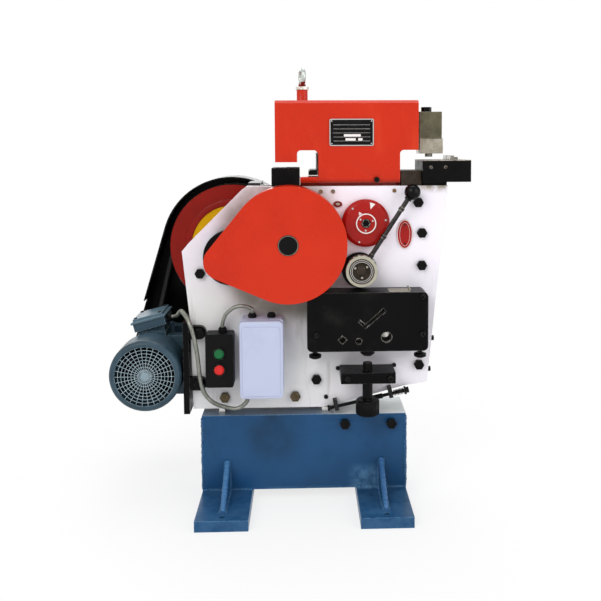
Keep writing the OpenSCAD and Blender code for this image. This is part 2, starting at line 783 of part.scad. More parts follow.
module gear_guard() color("orangered") difference() {
    union() {
        through(guard_y, guard_y + guard_t) guard_outline(0);
        through(guard_y + guard_t / 2, face_y) difference() {
            guard_outline(0);
            guard_outline(guard_t);
        }
    }
    translate([gear_x, 0, gear_z]) bar_y(24, guard_y - 1, guard_y + guard_t + 1);
    translate([pinion_x + flange_shift, 0, pinion_z + 3])
        bar_y(flange_r + slide_clear, face_y - flange_t - slide_clear, face_y + 1);
    for (p = ram_guides) translate([p[0], 0, frame_low + p[1]])
        bar_y(bolt_af / sqrt(3) + 1, face_y - bolt_head_h - 1, face_y + 1);
    // notches round the cap and the shear box
    translate([cap_x, 0, cap_z]) bar_y(cap_r + 1, face_y - cap_t - 1, face_y + 1);
    translate([box_cx - box_w / 2 - 1, box_y - 1, box_top - box_h])
        cube([box_w, box_d + 2, box_h + box_rise + 1]);
}

module flywheel() color("darkred") translate([pinion_x, 0, pinion_z]) {
    y0 = flywheel_y;
    y1 = flywheel_y + flywheel_w;
    bottom = flywheel_r - groove_depth;
    turned_y([
        [pinion_shaft_d / 2, y0 + 15], [46, y0 + 15], [46, y0 + 30], [86, y0 + 30],
        [86, y0 + 36], [122, y0 + 36], [126, y0 + 2], [flywheel_r - 2, y0], [flywheel_r, y0 + 2],
        [flywheel_r, grooves[0] - belt_gap], [bottom, grooves[0] - belt_gap],
        [bottom, grooves[0] + belt_w + belt_gap], [flywheel_r, grooves[0] + belt_w + belt_gap],
        [flywheel_r, grooves[1] - belt_gap], [bottom, grooves[1] - belt_gap],
        [bottom, grooves[1] + belt_w + belt_gap], [flywheel_r, grooves[1] + belt_w + belt_gap],
        [flywheel_r, y1], [126, y1], [122, y0 + 56], [46, y0 + 56], [46, y1], [pinion_shaft_d / 2, y1]]);
}

module v_belts() color("#151515") {
    inner = flywheel_r - groove_depth + belt_gap;
    small = pulley_r - groove_depth + belt_gap;
    for (y = grooves) through(y, y + belt_w) difference() {
        two_circles([pinion_x, pinion_z], inner + belt_t, [motor_x, motor_z], small + belt_t);
        two_circles([pinion_x, pinion_z], inner, [motor_x, motor_z], small);
    }
}

module belt_guard_outline(inset) two_circles(
    [pinion_x, pinion_z], flywheel_r + 20 - inset, [motor_x, motor_z], pulley_r + 40 - inset);

// an open tray behind the flywheel and the pulley, with a strap on the frame
module belt_guard() color("#191919") {
    y0 = flywheel_y - 6;
    y1 = flywheel_y + flywheel_w + 18;
    strap_z = pinion_z + (flywheel_r + 20) * 0.84;
    strap_top = max(plate_top, strap_z + 9);
    difference() {
        through(y0, y1) belt_guard_outline(0);
        through(y0 - 1, y1 - guard_t) belt_guard_outline(guard_t);
        // room for the motor and its bracket
        translate([motor_x - 100, y0 - 1, motor_z - 100])
            cube([250, motor_y + motor_len + 2 - y0, 236]);
    }
    difference() {
        union() {
            translate([pinion_x + 52, plate_half, strap_top]) cube([30, y0 + 20 - plate_half, 5]);
            translate([pinion_x + 52, y0, strap_z]) cube([30, 20, strap_top - strap_z + 1]);
            if (strap_top > plate_top)
                translate([pinion_x + 52, plate_half, plate_top])
                    cube([30, plate_t, strap_top - plate_top + 1]);
        }
        through(y0 - 1, y1 - guard_t) belt_guard_outline(guard_t);
    }
}

// ---- motor ----

module motor_bracket() color("#1d1d1d") {
    x0 = motor_x + motor_foot;
    difference() {
        translate([x0, face_y - 15, stand_h + 5])
            cube([bracket_t, motor_y + motor_len - face_y - 15, 222]);
        for (z = [-70, 70], y = motor_feet) translate([x0 - 1, y, motor_z + z])
            rotate([0, 90, 0]) cylinder(d = 10, h = bracket_t + 2);
    }
    for (z = bracket_bolts) difference() {
        through(face_y - bracket_t, face_y) {
            translate([x0 + bracket_t - 1, z - 16]) square([bracket_bolt_x - x0 - bracket_t + 1, 32]);
            translate([bracket_bolt_x, z]) circle(16);
        }
        translate([bracket_bolt_x, 0, z]) bar_y(bolt_d / 2, face_y - bracket_t - 1, face_y + 1);
    }
}

module motor_body() color("#7d959b") translate([motor_x, 0, motor_z]) {
    y0 = motor_y + cowl_len;
    y1 = motor_y + motor_len;
    difference() {
        union() {
            bar_y(motor_r - 5, y0, y1 - 8);
            // cooling fins, left out where the feet and the terminal box stand
            through(y0 + 10, y1 - 26) difference() {
                union() for (i = [0 : 39])
                    rotate(9 * i + 4.5) translate([motor_r - 7, -1.25]) square([10, 2.5]);
                translate([20, -motor_r]) square([80, 2 * motor_r]);
                rotate(8) translate([-34, 20]) square([68, 80]);
            }
            bar_y(motor_r + 3, y1 - 26, y1 - 10);
            bar_y(motor_r + 3, y0, y0 + 10);
            bar_y(32, y1 - 12, y1 + 4);
            for (y = motor_feet) for (s = [-1, 1])
                translate([38, y - 15, s * 52 - (s > 0 ? 10 : 22)]) cube([motor_foot - 38, 30, 32]);
            for (s = [-1, 1]) translate([motor_foot - 12, motor_feet[0] - 15, s * 70 - 14])
                cube([12, motor_feet[1] - motor_feet[0] + 30, 28]);
            translate([-34, y0 + 22, motor_r - 12]) cube([68, 84, 22]);
        }
        bar_y(motor_shaft_d / 2 + run_clear, y0 - 1, y1 + 5);
        for (z = [-70, 70], y = motor_feet) translate([motor_foot - 13, y, z])
            rotate([0, 90, 0]) cylinder(d = 10, h = 15);
    }
}

module motor_cowl() color("#7d959b") translate([motor_x, 0, motor_z]) {
    rings = [[motor_r - 14, 5], [motor_r - 26, 5], [motor_r - 38, 5]];
    difference() {
        translate([0, motor_y, 0]) turned_y([
            [0, 0], [cowl_r - 12, 0], [cowl_r - 3, 4], [cowl_r, 12], [cowl_r, cowl_len],
            [motor_r + 3, cowl_len], [motor_r + 3, cowl_len - 4], [cowl_r - 3, cowl_len - 4],
            [cowl_r - 3, 13], [cowl_r - 13, 3], [0, 3]]);
        // the grille: ring slots bridged by radial bars
        through(motor_y - 1, motor_y + 5) difference() {
            for (r = rings) difference() {
                circle(r[0] + r[1]);
                circle(r[0]);
            }
            for (i = [0 : 3]) rotate(45 * i) square([2 * motor_r, 5], center = true);
        }
    }
}

module motor_shaft() color("silver") translate([motor_x, 0, motor_z])
    bar_y(motor_shaft_d / 2, motor_y + 24, motor_y + motor_len + 48);

module motor_fan() color("#404040") translate([motor_x, 0, motor_z]) difference() {
    union() {
        bar_y(24, motor_y + 26, motor_y + cowl_len - 12);
        bar_y(motor_r - 6, motor_y + cowl_len - 16, motor_y + cowl_len - 12);
        through(motor_y + 32, motor_y + cowl_len - 13) for (i = [0 : 6])
            rotate(i * 360 / 7) translate([20, -2]) square([motor_r - 28, 4]);
    }
    bar_y(motor_shaft_d / 2, motor_y, motor_y + cowl_len);
}

module motor_pulley() color("#3c3c3c") translate([motor_x, 0, motor_z]) {
    bottom = pulley_r - groove_depth;
    y0 = motor_y + motor_len + 6;
    turned_y([
        [motor_shaft_d / 2, y0], [pulley_r, y0],
        [pulley_r, grooves[0] - belt_gap], [bottom, grooves[0] - belt_gap],
        [bottom, grooves[0] + belt_w + belt_gap], [pulley_r, grooves[0] + belt_w + belt_gap],
        [pulley_r, grooves[1] - belt_gap], [bottom, grooves[1] - belt_gap],
        [bottom, grooves[1] + belt_w + belt_gap], [pulley_r, grooves[1] + belt_w + belt_gap],
        [pulley_r, grooves[1] + belt_w + 5], [motor_shaft_d / 2, grooves[1] + belt_w + 5]]);
}

module on_motor() translate(motor_top(0, 0, 0)) rotate([0, -box_tilt, 0]) children();

module terminal_box() color("#6b6a66") on_motor() difference() {
    union() {
        translate([-40, -48, 10]) cube([80, 96, term_h]);
        rotate([0, box_tilt, 0]) translate([-30, -38, 0]) cube([60, 76, 20]);
    }
    translate([-36, -44, 16]) cube([72, 88, term_h]);
    translate([30, -20, 9 + term_h / 2]) rotate([0, 90, 0]) cylinder(d = 11.7, h = 20);
}

module terminal_lid() color("#9aa6a8") on_motor() translate([0, 0, 10 + term_h]) {
    translate([-44, -52, 0]) cube([88, 104, 5]);
    translate([-38, -46, 5]) cube([76, 92, 7]);
    translate([-35.5, -43.5, -6]) difference() {
        cube([71, 87, 7]);
        translate([3, 3, -1]) cube([65, 81, 7]);
    }
}

// ---- controls and electrics ----

// a box front drawn about its middle, set in by the wall, with round corners
module box_front(x, z, w, h, inset, r) round_rect(
    x - w / 2 + inset, z - h / 2 + inset, x + w / 2 - inset, z + h / 2 - inset, r);

module starter_front(inset, r) box_front(starter_x, starter_z, starter_w, starter_h, inset, r);

module starter_box() color("#e8e4ee") difference() {
    through(starter_y + cover_d, face_y) starter_front(0, 7);
    through(starter_y + cover_d - 1, face_y - 4) starter_front(3, 4);
    for (x = starter_ways)
        translate([starter_x + x, gland_y, starter_z + starter_h / 2 - 5]) cylinder(d = 12, h = 8);
    translate([starter_low_x, gland_y, starter_z - starter_h / 2 - 2]) cylinder(d = 12, h = 8);
}

module starter_cover() color("#f0edf4") difference() {
    through(starter_y, starter_y + cover_d) starter_front(0, 7);
    through(starter_y + 4, starter_y + cover_d + 1) starter_front(3, 4);
}

// a cable gland that stands on a face and points up
module gland(len) difference() {
    union() {
        cylinder(d = 20, h = len, $fn = 6);
        translate([0, 0, -4]) cylinder(d = 11.6, h = len);
        translate([0, 0, len - 1]) cylinder(d = 16, h = 4);
    }
    translate([0, 0, 3]) cylinder(d = conduit_d + 1.2, h = len + 4);
}

module cable_glands() color("#1a1a1a") {
    for (x = starter_ways) translate([starter_x + x, gland_y, starter_z + starter_h / 2]) gland(8);
    translate([starter_low_x, gland_y, starter_z - starter_h / 2]) mirror([0, 0, 1]) gland(9);
    translate([station_x + 6, station_gland_y, station_z + station_h / 2]) gland(9);
    on_motor() translate([40, -20, 9 + term_h / 2]) rotate([0, 90, 0]) gland(9);
}

module station_front(inset, r) box_front(station_x, station_z, station_w, station_h, inset, r);

module button_box() color("#1e1e1e") difference() {
    through(station_y + 10, face_y) station_front(0, 5);
    through(station_y + 9, face_y - 4) station_front(3, 3);
    translate([station_x + 6, station_gland_y, station_z + station_h / 2 - 5]) cylinder(d = 12, h = 8);
}

module button_cover() color("#262626") difference() {
    union() {
        through(station_y + 2, station_y + 10) station_front(0, 5);
        for (z = button_z) translate([station_x, 0, z])
            bar_y(button_d / 2 + 4, station_y - 2, station_y + 14);
    }
    for (z = button_z) translate([station_x, 0, z])
        bar_y(button_d / 2 + run_clear, station_y - 3, station_y + 15);
    through(station_y + 6, station_y + 11) difference() {
        station_front(3, 3);
        for (z = button_z) translate([station_x, z]) circle(button_d / 2 + 4);
    }
}

module push_button(z) {
    front = station_y - button_travel - 4;
    half = button_d / 2;
    translate([station_x, 0, z]) turned_y([
        [0, front], [half - 3, front], [half, front + 3], [half, station_y + 13], [0, station_y + 13]]);
}

module start_button() color("green") push_button(button_z[0]);
module stop_button() color("red") push_button(button_z[1]);

// a tube of ten sides swept along points, with its rings square to the way
function unit(v) = v / norm(v);
function spline(p, i, t) = let (
    n = len(p) - 1, a = p[max(i - 1, 0)], b = p[i], c = p[i + 1], d = p[min(i + 2, n)])
    0.5 * (2 * b + (c - a) * t + (2 * a - 5 * b + 4 * c - d) * t * t + (3 * b - a - 3 * c + d) * t * t * t);

module tube(route, d, steps) {
    last = len(route) - 1;
    path = [for (i = [0 : last - 1], k = [0 : steps - 1]) spline(route, i, k / steps), route[last]];
    n = len(path);
    sides = 10;
    turn = 360 / sides;
    ways = [for (i = [0 : n - 1]) unit(path[min(i + 1, n - 1)] - path[max(i - 1, 0)])];
    // each ring's first point is carried along from the ring before, so the tube doesn't twist
    rights = [for (i = 0, r = unit(cross(ways[0], [0, 1, 0])); i < n;
        i = i + 1, r = i < n ? unit(r - (r * ways[i]) * ways[i]) : r) r];
    rings = [for (i = [0 : n - 1], s = [0 : sides - 1])
        path[i] + d / 2 * (cos(s * turn) * rights[i] + sin(s * turn) * cross(rights[i], ways[i]))];
    polyhedron(rings, tube_faces(n, sides));
}

// the faces of a tube of n rings, its ends closed
function tube_faces(n, sides) = [
    [for (s = [sides - 1 : -1 : 0]) s],
    for (i = [0 : n - 2], s = [0 : sides - 1])
        let (next = (s + 1) % sides)
            [i * sides + s, i * sides + next, (i + 1) * sides + next, (i + 1) * sides + s],
    [for (s = [0 : sides - 1]) (n - 1) * sides + s]];

module motor_conduit() color("#c8c8c4") tube(motor_route, conduit_d, 3);
module station_conduit() color("#c8c8c4") tube(station_route, conduit_d - 1, 3);

module round_cap() color("crimson") translate([cap_x, face_y, cap_z]) turned_y([
    [0, -cap_t], [11, -cap_t], [11, -cap_t - 4], [24, -cap_t - 4], [24, -cap_t],
    [cap_r - 8, -cap_t], [cap_r, -cap_t + 7], [cap_r, 0], [0, 0]]);

module oval_badge() color("firebrick") translate([243, 0, gear_z + 16]) through(face_y - 3, face_y)
    scale([badge_w / badge_h, 1]) circle(d = badge_h, $fn = 96);

module lever_plate() color("#161616") translate([lever_x - 3, 0, lever_z - 1])
    bar_y(hub_r + 5, face_y - 12, face_y);

module lever_hub() color("silver") translate([lever_x, 0, lever_z]) difference() {
    bar_y(hub_r, lever_y - 12, face_y - 12 - slide_clear);
    bar_y(22, lever_y - 13, lever_y);
    rotate([0, 90 - lever_angle, 0]) translate([0, lever_y, hub_r - 12])
        cylinder(d = lever_d + 2.1, h = 20);
}

module lever_rod() color("silver") translate([lever_x, lever_y, lever_z]) rotate([0, 90 - lever_angle, 0]) {
    translate([0, 0, hub_r - 12]) cylinder(d = lever_d + 2, h = 22);
    translate([0, 0, hub_r + 8]) cylinder(d = lever_d, h = lever_len - hub_r - 16);
    for (s = [0.3, 0.72]) translate([0, 0, hub_r + s * (lever_len - hub_r)])
        cylinder(d = lever_d + 3, h = 8);
}

module lever_knob() color("#101010") translate([lever_x, lever_y, lever_z]) rotate([0, 90 - lever_angle, 0])
    translate([0, 0, lever_len]) difference() {
        union() {
            sphere(knob_r);
            translate([0, 0, -knob_r - 3]) cylinder(d = lever_d + 6, h = 10);
        }
        translate([0, 0, -knob_r - 4]) cylinder(d = lever_d + 0.1, h = knob_r - 3.8);
    }

module along_rod() translate([rod_x, rod_y, rod_z]) rotate([0, 90 - rod_slope, 0]) children();

module trip_rod() color("#8d8d88") along_rod() {
    translate([0, 0, -3]) cylinder(d = 8, h = 195);
    translate([0, 0, -5]) cylinder(d = 14, h = 5);
    translate([0, 0, 184]) cylinder(d = 20, h = 4);
    translate([0, 0, 188]) linear_extrude(7) hexagon(13);
    translate([0, 0, 100]) cylinder(d = 12, h = 30);
}

module return_spring() color("#a0a09a") along_rod() {
    turns = 7;
    coil_r = 6.6;
    wire = 2;
    translate([0, 0, 156.6]) {
        pts = [for (i = [0 : 16 * turns])
            [coil_r * cos(22.5 * i), coil_r * sin(22.5 * i), 1 + i / 16 * 3.6]];
        n = len(pts);
        sides = 6;
        rings = [for (i = [0 : n - 1])
            let (out = [cos(22.5 * i), sin(22.5 * i), 0])
            for (s = [0 : sides - 1])
                pts[i] + wire / 2 * (cos(60 * s) * out + sin(60 * s) * [0, 0, 1])];
        polyhedron(rings, tube_faces(n, sides));
    }
}

base_stand();
front_plate();
rear_plate();
frame_spacers();
hex_bolts();
cap_screws();
notch_die();
throat_block();
punch_table();
punch_die();
table_stop();
shear_box();
fixed_blade();
thumb_screws();
jack_bracket();
bearing_flanges();
pinion_bearings();
eccentric_bushes();
gear_guard();
belt_guard();
motor_bracket();
motor_body();
motor_cowl();
terminal_box();
terminal_lid();
v_belts();
starter_box();
starter_cover();
cable_glands();
button_box();
button_cover();
motor_conduit();
station_conduit();
round_cap();
oval_badge();
lever_plate();
return_spring();
flywheel();
pinion_shaft();
bull_gear();
eccentric_shaft();
motor_shaft();
motor_fan();
motor_pulley();
ram();
punch_holder();
punch_tool();
punch();
name_plate();
lifting_eye();
moving_blade();
head_screws();
lever_hub();
lever_rod();
lever_knob();
jack_screw();
jack_pad();
start_button();
stop_button();
trip_rod();
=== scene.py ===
import json
import math

import bmesh
import bpy
from mathutils import Matrix, Vector


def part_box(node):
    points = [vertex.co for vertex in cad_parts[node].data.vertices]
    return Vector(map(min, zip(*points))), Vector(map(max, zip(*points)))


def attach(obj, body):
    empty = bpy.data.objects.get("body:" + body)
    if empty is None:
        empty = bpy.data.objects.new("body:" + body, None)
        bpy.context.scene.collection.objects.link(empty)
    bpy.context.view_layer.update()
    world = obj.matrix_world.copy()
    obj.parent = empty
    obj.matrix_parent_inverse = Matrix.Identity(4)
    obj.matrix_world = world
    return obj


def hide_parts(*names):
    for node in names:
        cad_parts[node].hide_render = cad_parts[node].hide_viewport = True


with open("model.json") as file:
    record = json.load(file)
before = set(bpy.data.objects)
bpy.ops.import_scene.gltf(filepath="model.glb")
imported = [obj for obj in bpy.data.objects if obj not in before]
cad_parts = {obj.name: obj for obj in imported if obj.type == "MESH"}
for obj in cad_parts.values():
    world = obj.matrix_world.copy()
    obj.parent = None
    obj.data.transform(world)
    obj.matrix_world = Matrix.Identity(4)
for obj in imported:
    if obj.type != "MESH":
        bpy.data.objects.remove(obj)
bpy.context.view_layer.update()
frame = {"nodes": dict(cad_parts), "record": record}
nodes = frame["nodes"]
bodyOf = {node: body for body, members in frame["record"]["behaviour"]["bodies"].items() for node in members}
print("frame loaded:", len(nodes), "nodes")


class Sizes(dict):
    # a dictionary whose values are also read as attributes
    __getattr__ = dict.__getitem__


def added(name, data):
    thing = bpy.data.objects.new(name, data)
    bpy.context.scene.collection.objects.link(thing)
    return thing


view = Sizes(place=(0.0033, -1.8575, 0.8504), yaw=0.0345, pitch=-0.0708, roll=-0.0042,
    lens=45.8, shiftX=-0.0499, shiftY=-0.1664)


def addCamera():
    lens = bpy.data.cameras.new("camera")
    lens.sensor_width = 36
    lens.lens = view.lens
    lens.shift_x = view.shiftX
    lens.shift_y = view.shiftY
    turn = (Matrix.Rotation(-view.yaw, 4, "Z") @ Matrix.Rotation(math.pi / 2 + view.pitch, 4, "X")
        @ Matrix.Rotation(view.roll, 4, "Z"))
    camera = bpy.context.scene.camera = added("camera", lens)
    camera.matrix_world = Matrix.Translation(view.place) @ turn


lampAim = Vector((0, 0, 0.6))
lamps = {
    "key": {"place": (-1.6, -2.6, 2.6), "size": 2.2, "power": 58},
    "fill": {"place": (2.4, -1.8, 1.5), "size": 2.4, "power": 34},
    "top": {"place": (0.2, 0.6, 3.2), "size": 2.0, "power": 34},
    "back": {"place": (-1.0, 2.8, 1.8), "size": 2.4, "power": 26},
}


def addLamps():
    for name, lamp in lamps.items():
        light = bpy.data.lights.new(name, "AREA")
        light.size = lamp["size"]
        light.energy = lamp["power"]
        thing = added(name, light)
        thing.location = lamp["place"]
        thing.rotation_euler = (lampAim - Vector(lamp["place"])).to_track_quat("-Z", "Y").to_euler()


def rgb(paint):
    # a hex code as a linear colour; a wire stays a wire
    if isinstance(paint, Wire):
        return paint
    parts = [int(paint[i:i + 2], 16) / 255 for i in (0, 2, 4)]
    return tuple(p / 12.92 if p <= 0.04045 else ((p + 0.055) / 1.055) ** 2.4 for p in parts) + (1.0,)


def operator(operation, swapped=False):
    return lambda self, other: self.maths(operation, *((other, self) if swapped else (self, other)))


class Wire:
    # one output socket; arithmetic on it adds Math nodes to its tree
    __add__ = __radd__ = operator("ADD")
    __mul__ = __rmul__ = operator("MULTIPLY")
    __sub__, __rsub__ = operator("SUBTRACT"), operator("SUBTRACT", swapped=True)
    __truediv__, __lt__, __gt__ = operator("DIVIDE"), operator("LESS_THAN"), operator("GREATER_THAN")

    def __init__(self, tree, socket):
        self.tree = tree
        self.socket = socket

    def add(self, kind, inputs=None, settings=None, out=0):
        node = self.tree.nodes.new(kind)
        for key, value in (settings or {}).items():
            setattr(node, key, value)
        for key, value in (inputs or {}).items():
            if isinstance(value, Wire):
                self.tree.links.new(value.socket, node.inputs[key])
            elif value is not None:
                node.inputs[key].default_value = value
        return Wire(self.tree, node.outputs[out])

    def maths(self, operation, *values):
        return self.add("ShaderNodeMath", dict(enumerate(values)), {"operation": operation})

    def __abs__(self):
        return self.maths("ABSOLUTE", self)

    def root(self):
        return self.maths("SQRT", self)

    def clip(self, low, high):
        # 0 below low, 1 above high, smooth between
        return self.add("ShaderNodeMapRange", {"Value": self, "From Min": low, "From Max": high},
            {"interpolation_type": "SMOOTHSTEP"})

    def fade(self, low, high):
        # 1 below low, 0 above high
        return 1 - self.clip(low, high)

    def over(self, under, top):
        # self is the mask that lays the colour top over the colour under
        return self.add("ShaderNodeMix", {0: self, 6: rgb(under), 7: rgb(top)}, {"data_type": "RGBA"}, out=2)


finishes = {}


class Finish:
    # a new material built up of layers of colour, and the place on the piece
    def __init__(self, name, base, **constants):
        self.base = base
        self.material = finishes[name] = bpy.data.materials.new(name)
        self.material.use_nodes = True
        tree = self.material.node_tree
        self.shader = tree.nodes["Principled BSDF"]
        self.place = Wire(tree, tree.nodes.new("ShaderNodeTexCoord").outputs["Object"])
        axes = self.place.add("ShaderNodeSeparateXYZ", {0: self.place}).socket.node.outputs
        self.x, self.y, self.z = (Wire(tree, socket) for socket in axes)
        for key, value in constants.items():
            self.shader.inputs[key.replace("_", " ")].default_value = value

    def noise(self, scale, detail=3.0, rough=0.55, stretch=None, bend=0.0):
        place = self.place
        if stretch:
            place = place.add("ShaderNodeMapping", {"Vector": place, "Scale": stretch})
        return place.add("ShaderNodeTexNoise",
            {"Vector": place, "Scale": scale, "Detail": detail, "Roughness": rough, "Distortion": bend})

    def cells(self, scale):
        return self.place.add("ShaderNodeTexVoronoi", {"Vector": self.place, "Scale": scale}, out="Distance")

    def fromAxis(self, x, z):
        # distance from an axis that runs front to back
        dx, dz = self.x - x, self.z - z
        return (dx * dx + dz * dz).root()

    def worn(self, reach, low=0.02, high=0.2):
        # how far a softened normal leans from the true one at an edge, broken up by noise: edge wear, and on
        # the blue and orange paints a painted highlight
        soft = self.place.add("ShaderNodeBevel", {"Radius": reach}, {"samples": 4})
        true = self.place.add("ShaderNodeNewGeometry", out="Normal")
        dot = soft.add("ShaderNodeVectorMath", {0: soft, 1: true}, {"operation": "DOT_PRODUCT"}, out="Value")
        return (1 - dot).clip(low, high) * self.noise(160, 4).clip(0.35, 0.6)

    def feed(self, name, wire):
        wire.tree.links.new(wire.socket, self.shader.inputs[name])

    def lay(self, mask, colour):
        # one more layer of colour, where the mask is 1
        self.base = mask.over(self.base, colour)
        self.feed("Base Color", self.base)

    def texture(self, rough=None, height=None, depth=0.0):
        if rough:
            self.feed("Roughness", rough)
        if height:
            bump = {"Height": height, "Distance": depth, "Strength": 1.0}
            self.feed("Normal", height.add("ShaderNodeBump", bump))


def enamel(name, colour, shade, rough, peel, coat, grit, gloss=0.22):
    # brushed or sprayed paint: clouded colour, fine grit, orange peel
    f = Finish(name, colour, Coat_Roughness=0.12, Coat_Weight=coat * 0.3, Specular_IOR_Level=gloss)
    clouds = f.noise(5, 4)
    f.lay(clouds.clip(0.4, 0.75), shade)
    f.lay(f.noise(700, 2, 0.6).clip(0.66, 0.74) * grit, "3b352f")
    f.texture(clouds * 0.14 + f.noise(60, 3) * 0.1 + (rough - 0.12),
        f.noise(330, 2) + f.noise(40, 3) * 2, peel)
    return f


standTop = 0.208


def makeBluePaint():
    # the stand: darker in a patch on the front and towards the top, painted sheen by the right gusset and on
    # the feet, painted edge highlights, rusty at the floor, a painted highlight on top that gives way to
    # painted shade where the machine stands over it
    f = enamel("bluePaint", "1f4d78", "183f63", 0.34, 0.00009, 0.2, 0.35, 0.16)
    # a darker patch at the upper left of the front, and darker blotches towards the top
    darkPatch = f.fromAxis(-0.075, 0.16).fade(0.03, 0.1) * f.noise(16, 5, 0.6).clip(0.2, 0.6)
    f.lay(darkPatch * 0.6 + f.noise(9, 5, 0.6, bend=0.6).clip(0.5, 0.72) * f.z.clip(0.06, 0.16) * 0.4, "16334d")
    # painted sheen: a paler blue patch on the front beside the right gusset, and paler feet
    sheenPatch = f.x.clip(0.1, 0.135) * f.x.fade(0.168, 0.182) * f.z.fade(0.06, 0.09)
    sheenPatch = sheenPatch * f.y.clip(-0.075, -0.065) * 0.42
    f.lay(f.noise(26, 5, 0.7).clip(0.3, 0.62) * (sheenPatch + f.z.fade(0.026, 0.034) * 0.13), "74a6cc")
    # painted highlight: a paler blue along the edges
    f.lay(f.worn(0.003) * 0.8, "6fa6cd")
    f.lay(f.noise(70, 5, 0.7).clip(0.66, 0.74) * f.z.fade(0.0, 0.05) * 0.6, "6a4630")
    # painted highlight on the up-facing top face, held back to painted shade where the machine stands over it
    pale = f.z.clip(standTop - 0.0005, standTop - 0.0001) * (f.x.clip(0.02, 0.11) * 0.8 + 0.2)
    f.lay(pale, f.noise(12, 5, 0.6).clip(0.3, 0.7).over("e9edee", "d3dcda"))


def makePlatePaint():
    # the plates: a greenish-grey tint and drips low down, oily under the table, a painted shadow under the
    # guard, black on the trip rod's lugs
    f = enamel("platePaint", "f9f4fd", "efeaf4", 0.32, 0.00004, 0.25, 0.2)
    low = f.z.fade(0.44, 0.66)
    # a greenish-grey tint, stronger low down and to the left
    lowTint = low * (f.x.fade(-0.02, 0.24) * 0.75 + 0.25) * (f.noise(7, 5, 0.6).clip(0.2, 0.75) * 0.6 + 0.4)
    f.lay(lowTint * 0.5, "b7c0ae")
    f.lay(f.noise(30, 5, 0.65, stretch=(1, 1, 0.16)).clip(0.56, 0.72) * low * 0.3, "8d8a72")
    table = f.x.clip(0.268, 0.29) * f.x.fade(0.335, 0.35) * f.z.clip(0.735, 0.757)
    f.lay(table * f.noise(60, 4).clip(0.3, 0.6) * 0.8, "8a7a4c")
    # painted shadow under the guard, olive grey
    guard = f.fromAxis(-0.034, 0.61).fade(0.15, 0.2) * f.x.fade(0.04, 0.1)
    f.lay(guard * (f.noise(14, 4).clip(0.25, 0.6) * 0.5 + 0.5) * 0.75, "66634d")
    f.lay(f.worn(0.002, 0.05, 0.3) * 0.5, "a9a69c")
    f.lay((f.y < -0.0457) * (f.z < 0.3) * (f.z > 0.2125), "131314")


def makeOrangePaint():
    # the ram: dark low on its front at its foot, painted shade along the wall of its left throat, painted
    # highlights on its edges
    f = enamel("orangePaint", "cb2c0f", "bf270c", 0.27, 0.00005, 0.4, 0.12, 0.16)
    f.lay(f.noise(14, 5, 0.6, stretch=(1, 1, 0.3)).clip(0.5, 0.8) * 0.35, "e6512c")
    f.lay(f.z.fade(0.764, 0.775) * f.y.clip(-0.0465, -0.0455) * 0.55, "5a1a12")
    # painted shade along the wall of the left throat
    f.lay((abs(f.x - 0.0365) < 0.0012) * f.z.fade(0.83, 0.838) * f.z.clip(0.77, 0.78) * 0.9, "17110f")
    # painted highlight: a pale pink along the edges
    f.lay(f.worn(0.002, 0.03, 0.25) * 0.5, "f0a08c")


def makeBlackPaint():
    # black paint, dusty and scratched
    f = enamel("blackPaint", "08080a", "0d0d0e", 0.36, 0.00007, 0.05, 0.12, 0.06)
    dust = f.noise(12, 6, 0.65).clip(0.5, 0.8)
    f.lay(dust * 0.1, "5b5851")
    f.lay(f.noise(34, 5, 0.7, stretch=(0.35, 1, 3.2), bend=0.4).clip(0.69, 0.73) * 0.22, "77746e")
    f.lay(f.worn(0.0025, 0.03, 0.22) * 0.45, "8a867e")
    f.texture(dust * 0.3 + 0.3)


def makeBlackSteel():
    # oil-blackened steel, rubbed bright along its edges
    f = Finish("blackSteel", "0b0b0c", Metallic=0.3, Specular_IOR_Level=0.08)
    blotch = f.noise(24, 6, 0.65).clip(0.42, 0.72)
    f.lay(blotch * 0.4, "1d1814")
    f.lay(f.noise(190, 4, 0.7).clip(0.62, 0.74) * 0.4, "3f3c37")
    f.lay(f.worn(0.0025), "b7b2a8")
    f.texture(blotch * 0.25 + 0.34, f.noise(260, 5, 0.7), 0.00012)


def makeTableSteel():
    # the table: blackened, its top plate paler as a painted highlight
    f = Finish("tableSteel", "0b0b0c", Metallic=0.3, Specular_IOR_Level=0.08)
    blotch = f.noise(35, 6, 0.68).clip(0.35, 0.75)
    f.lay(blotch * 0.4, "1d1814")
    # painted highlight on the up-facing top plate
    f.lay(f.z.clip(0.8145, 0.8165) * f.noise(60, 5, 0.7).clip(0.3, 0.55), "b4afa5")
    f.texture(blotch * 0.2 + 0.4, f.noise(220, 5, 0.65) + f.noise(900, 2), 0.00006)


def makeScrewBlack():
    # screws: the frame's two lowest bolts on the left are rubbed to bare brown steel
    f = Finish("screwBlack", "0a0a0b", Metallic=0.2, Specular_IOR_Level=0.1)
    film = f.noise(120, 5, 0.7).clip(0.4, 0.7)
    f.lay(film * 0.4, "1e1a17")
    f.lay(f.worn(0.0012, 0.03, 0.25) * 0.7, "86827b")
    bare = f.fromAxis(-0.19, 0.249).fade(0.018, 0.02) + f.fromAxis(-0.021, 0.249).fade(0.018, 0.02)
    f.lay(bare * 0.8, film.over("6d5f48", "2c2419"))
    f.texture(film * 0.2 + 0.32, f.noise(500, 3, 0.6), 0.00004)


wheel = Sizes(x=-0.18695, z=0.58643, hub=0.0455, web=0.1083, tread=0.1642)


def makeFlywheelPaint():
    # the flywheel: red hub and rim, yellow web, bare tread
    f = enamel("flywheelPaint", "97190f", "7c120a", 0.34, 0.00012, 0.2, 0.3, 0.12)
    r = f.fromAxis(wheel.x, wheel.z)
    tread = r > wheel.tread
    f.lay(r < wheel.web, f.noise(8, 4).clip(0.4, 0.7).over("ffc51c", "efb012"))
    f.lay(r < wheel.hub, "8a2018")
    f.lay(tread, "6d6a66")
    f.feed("Metallic", tread * 0.9)


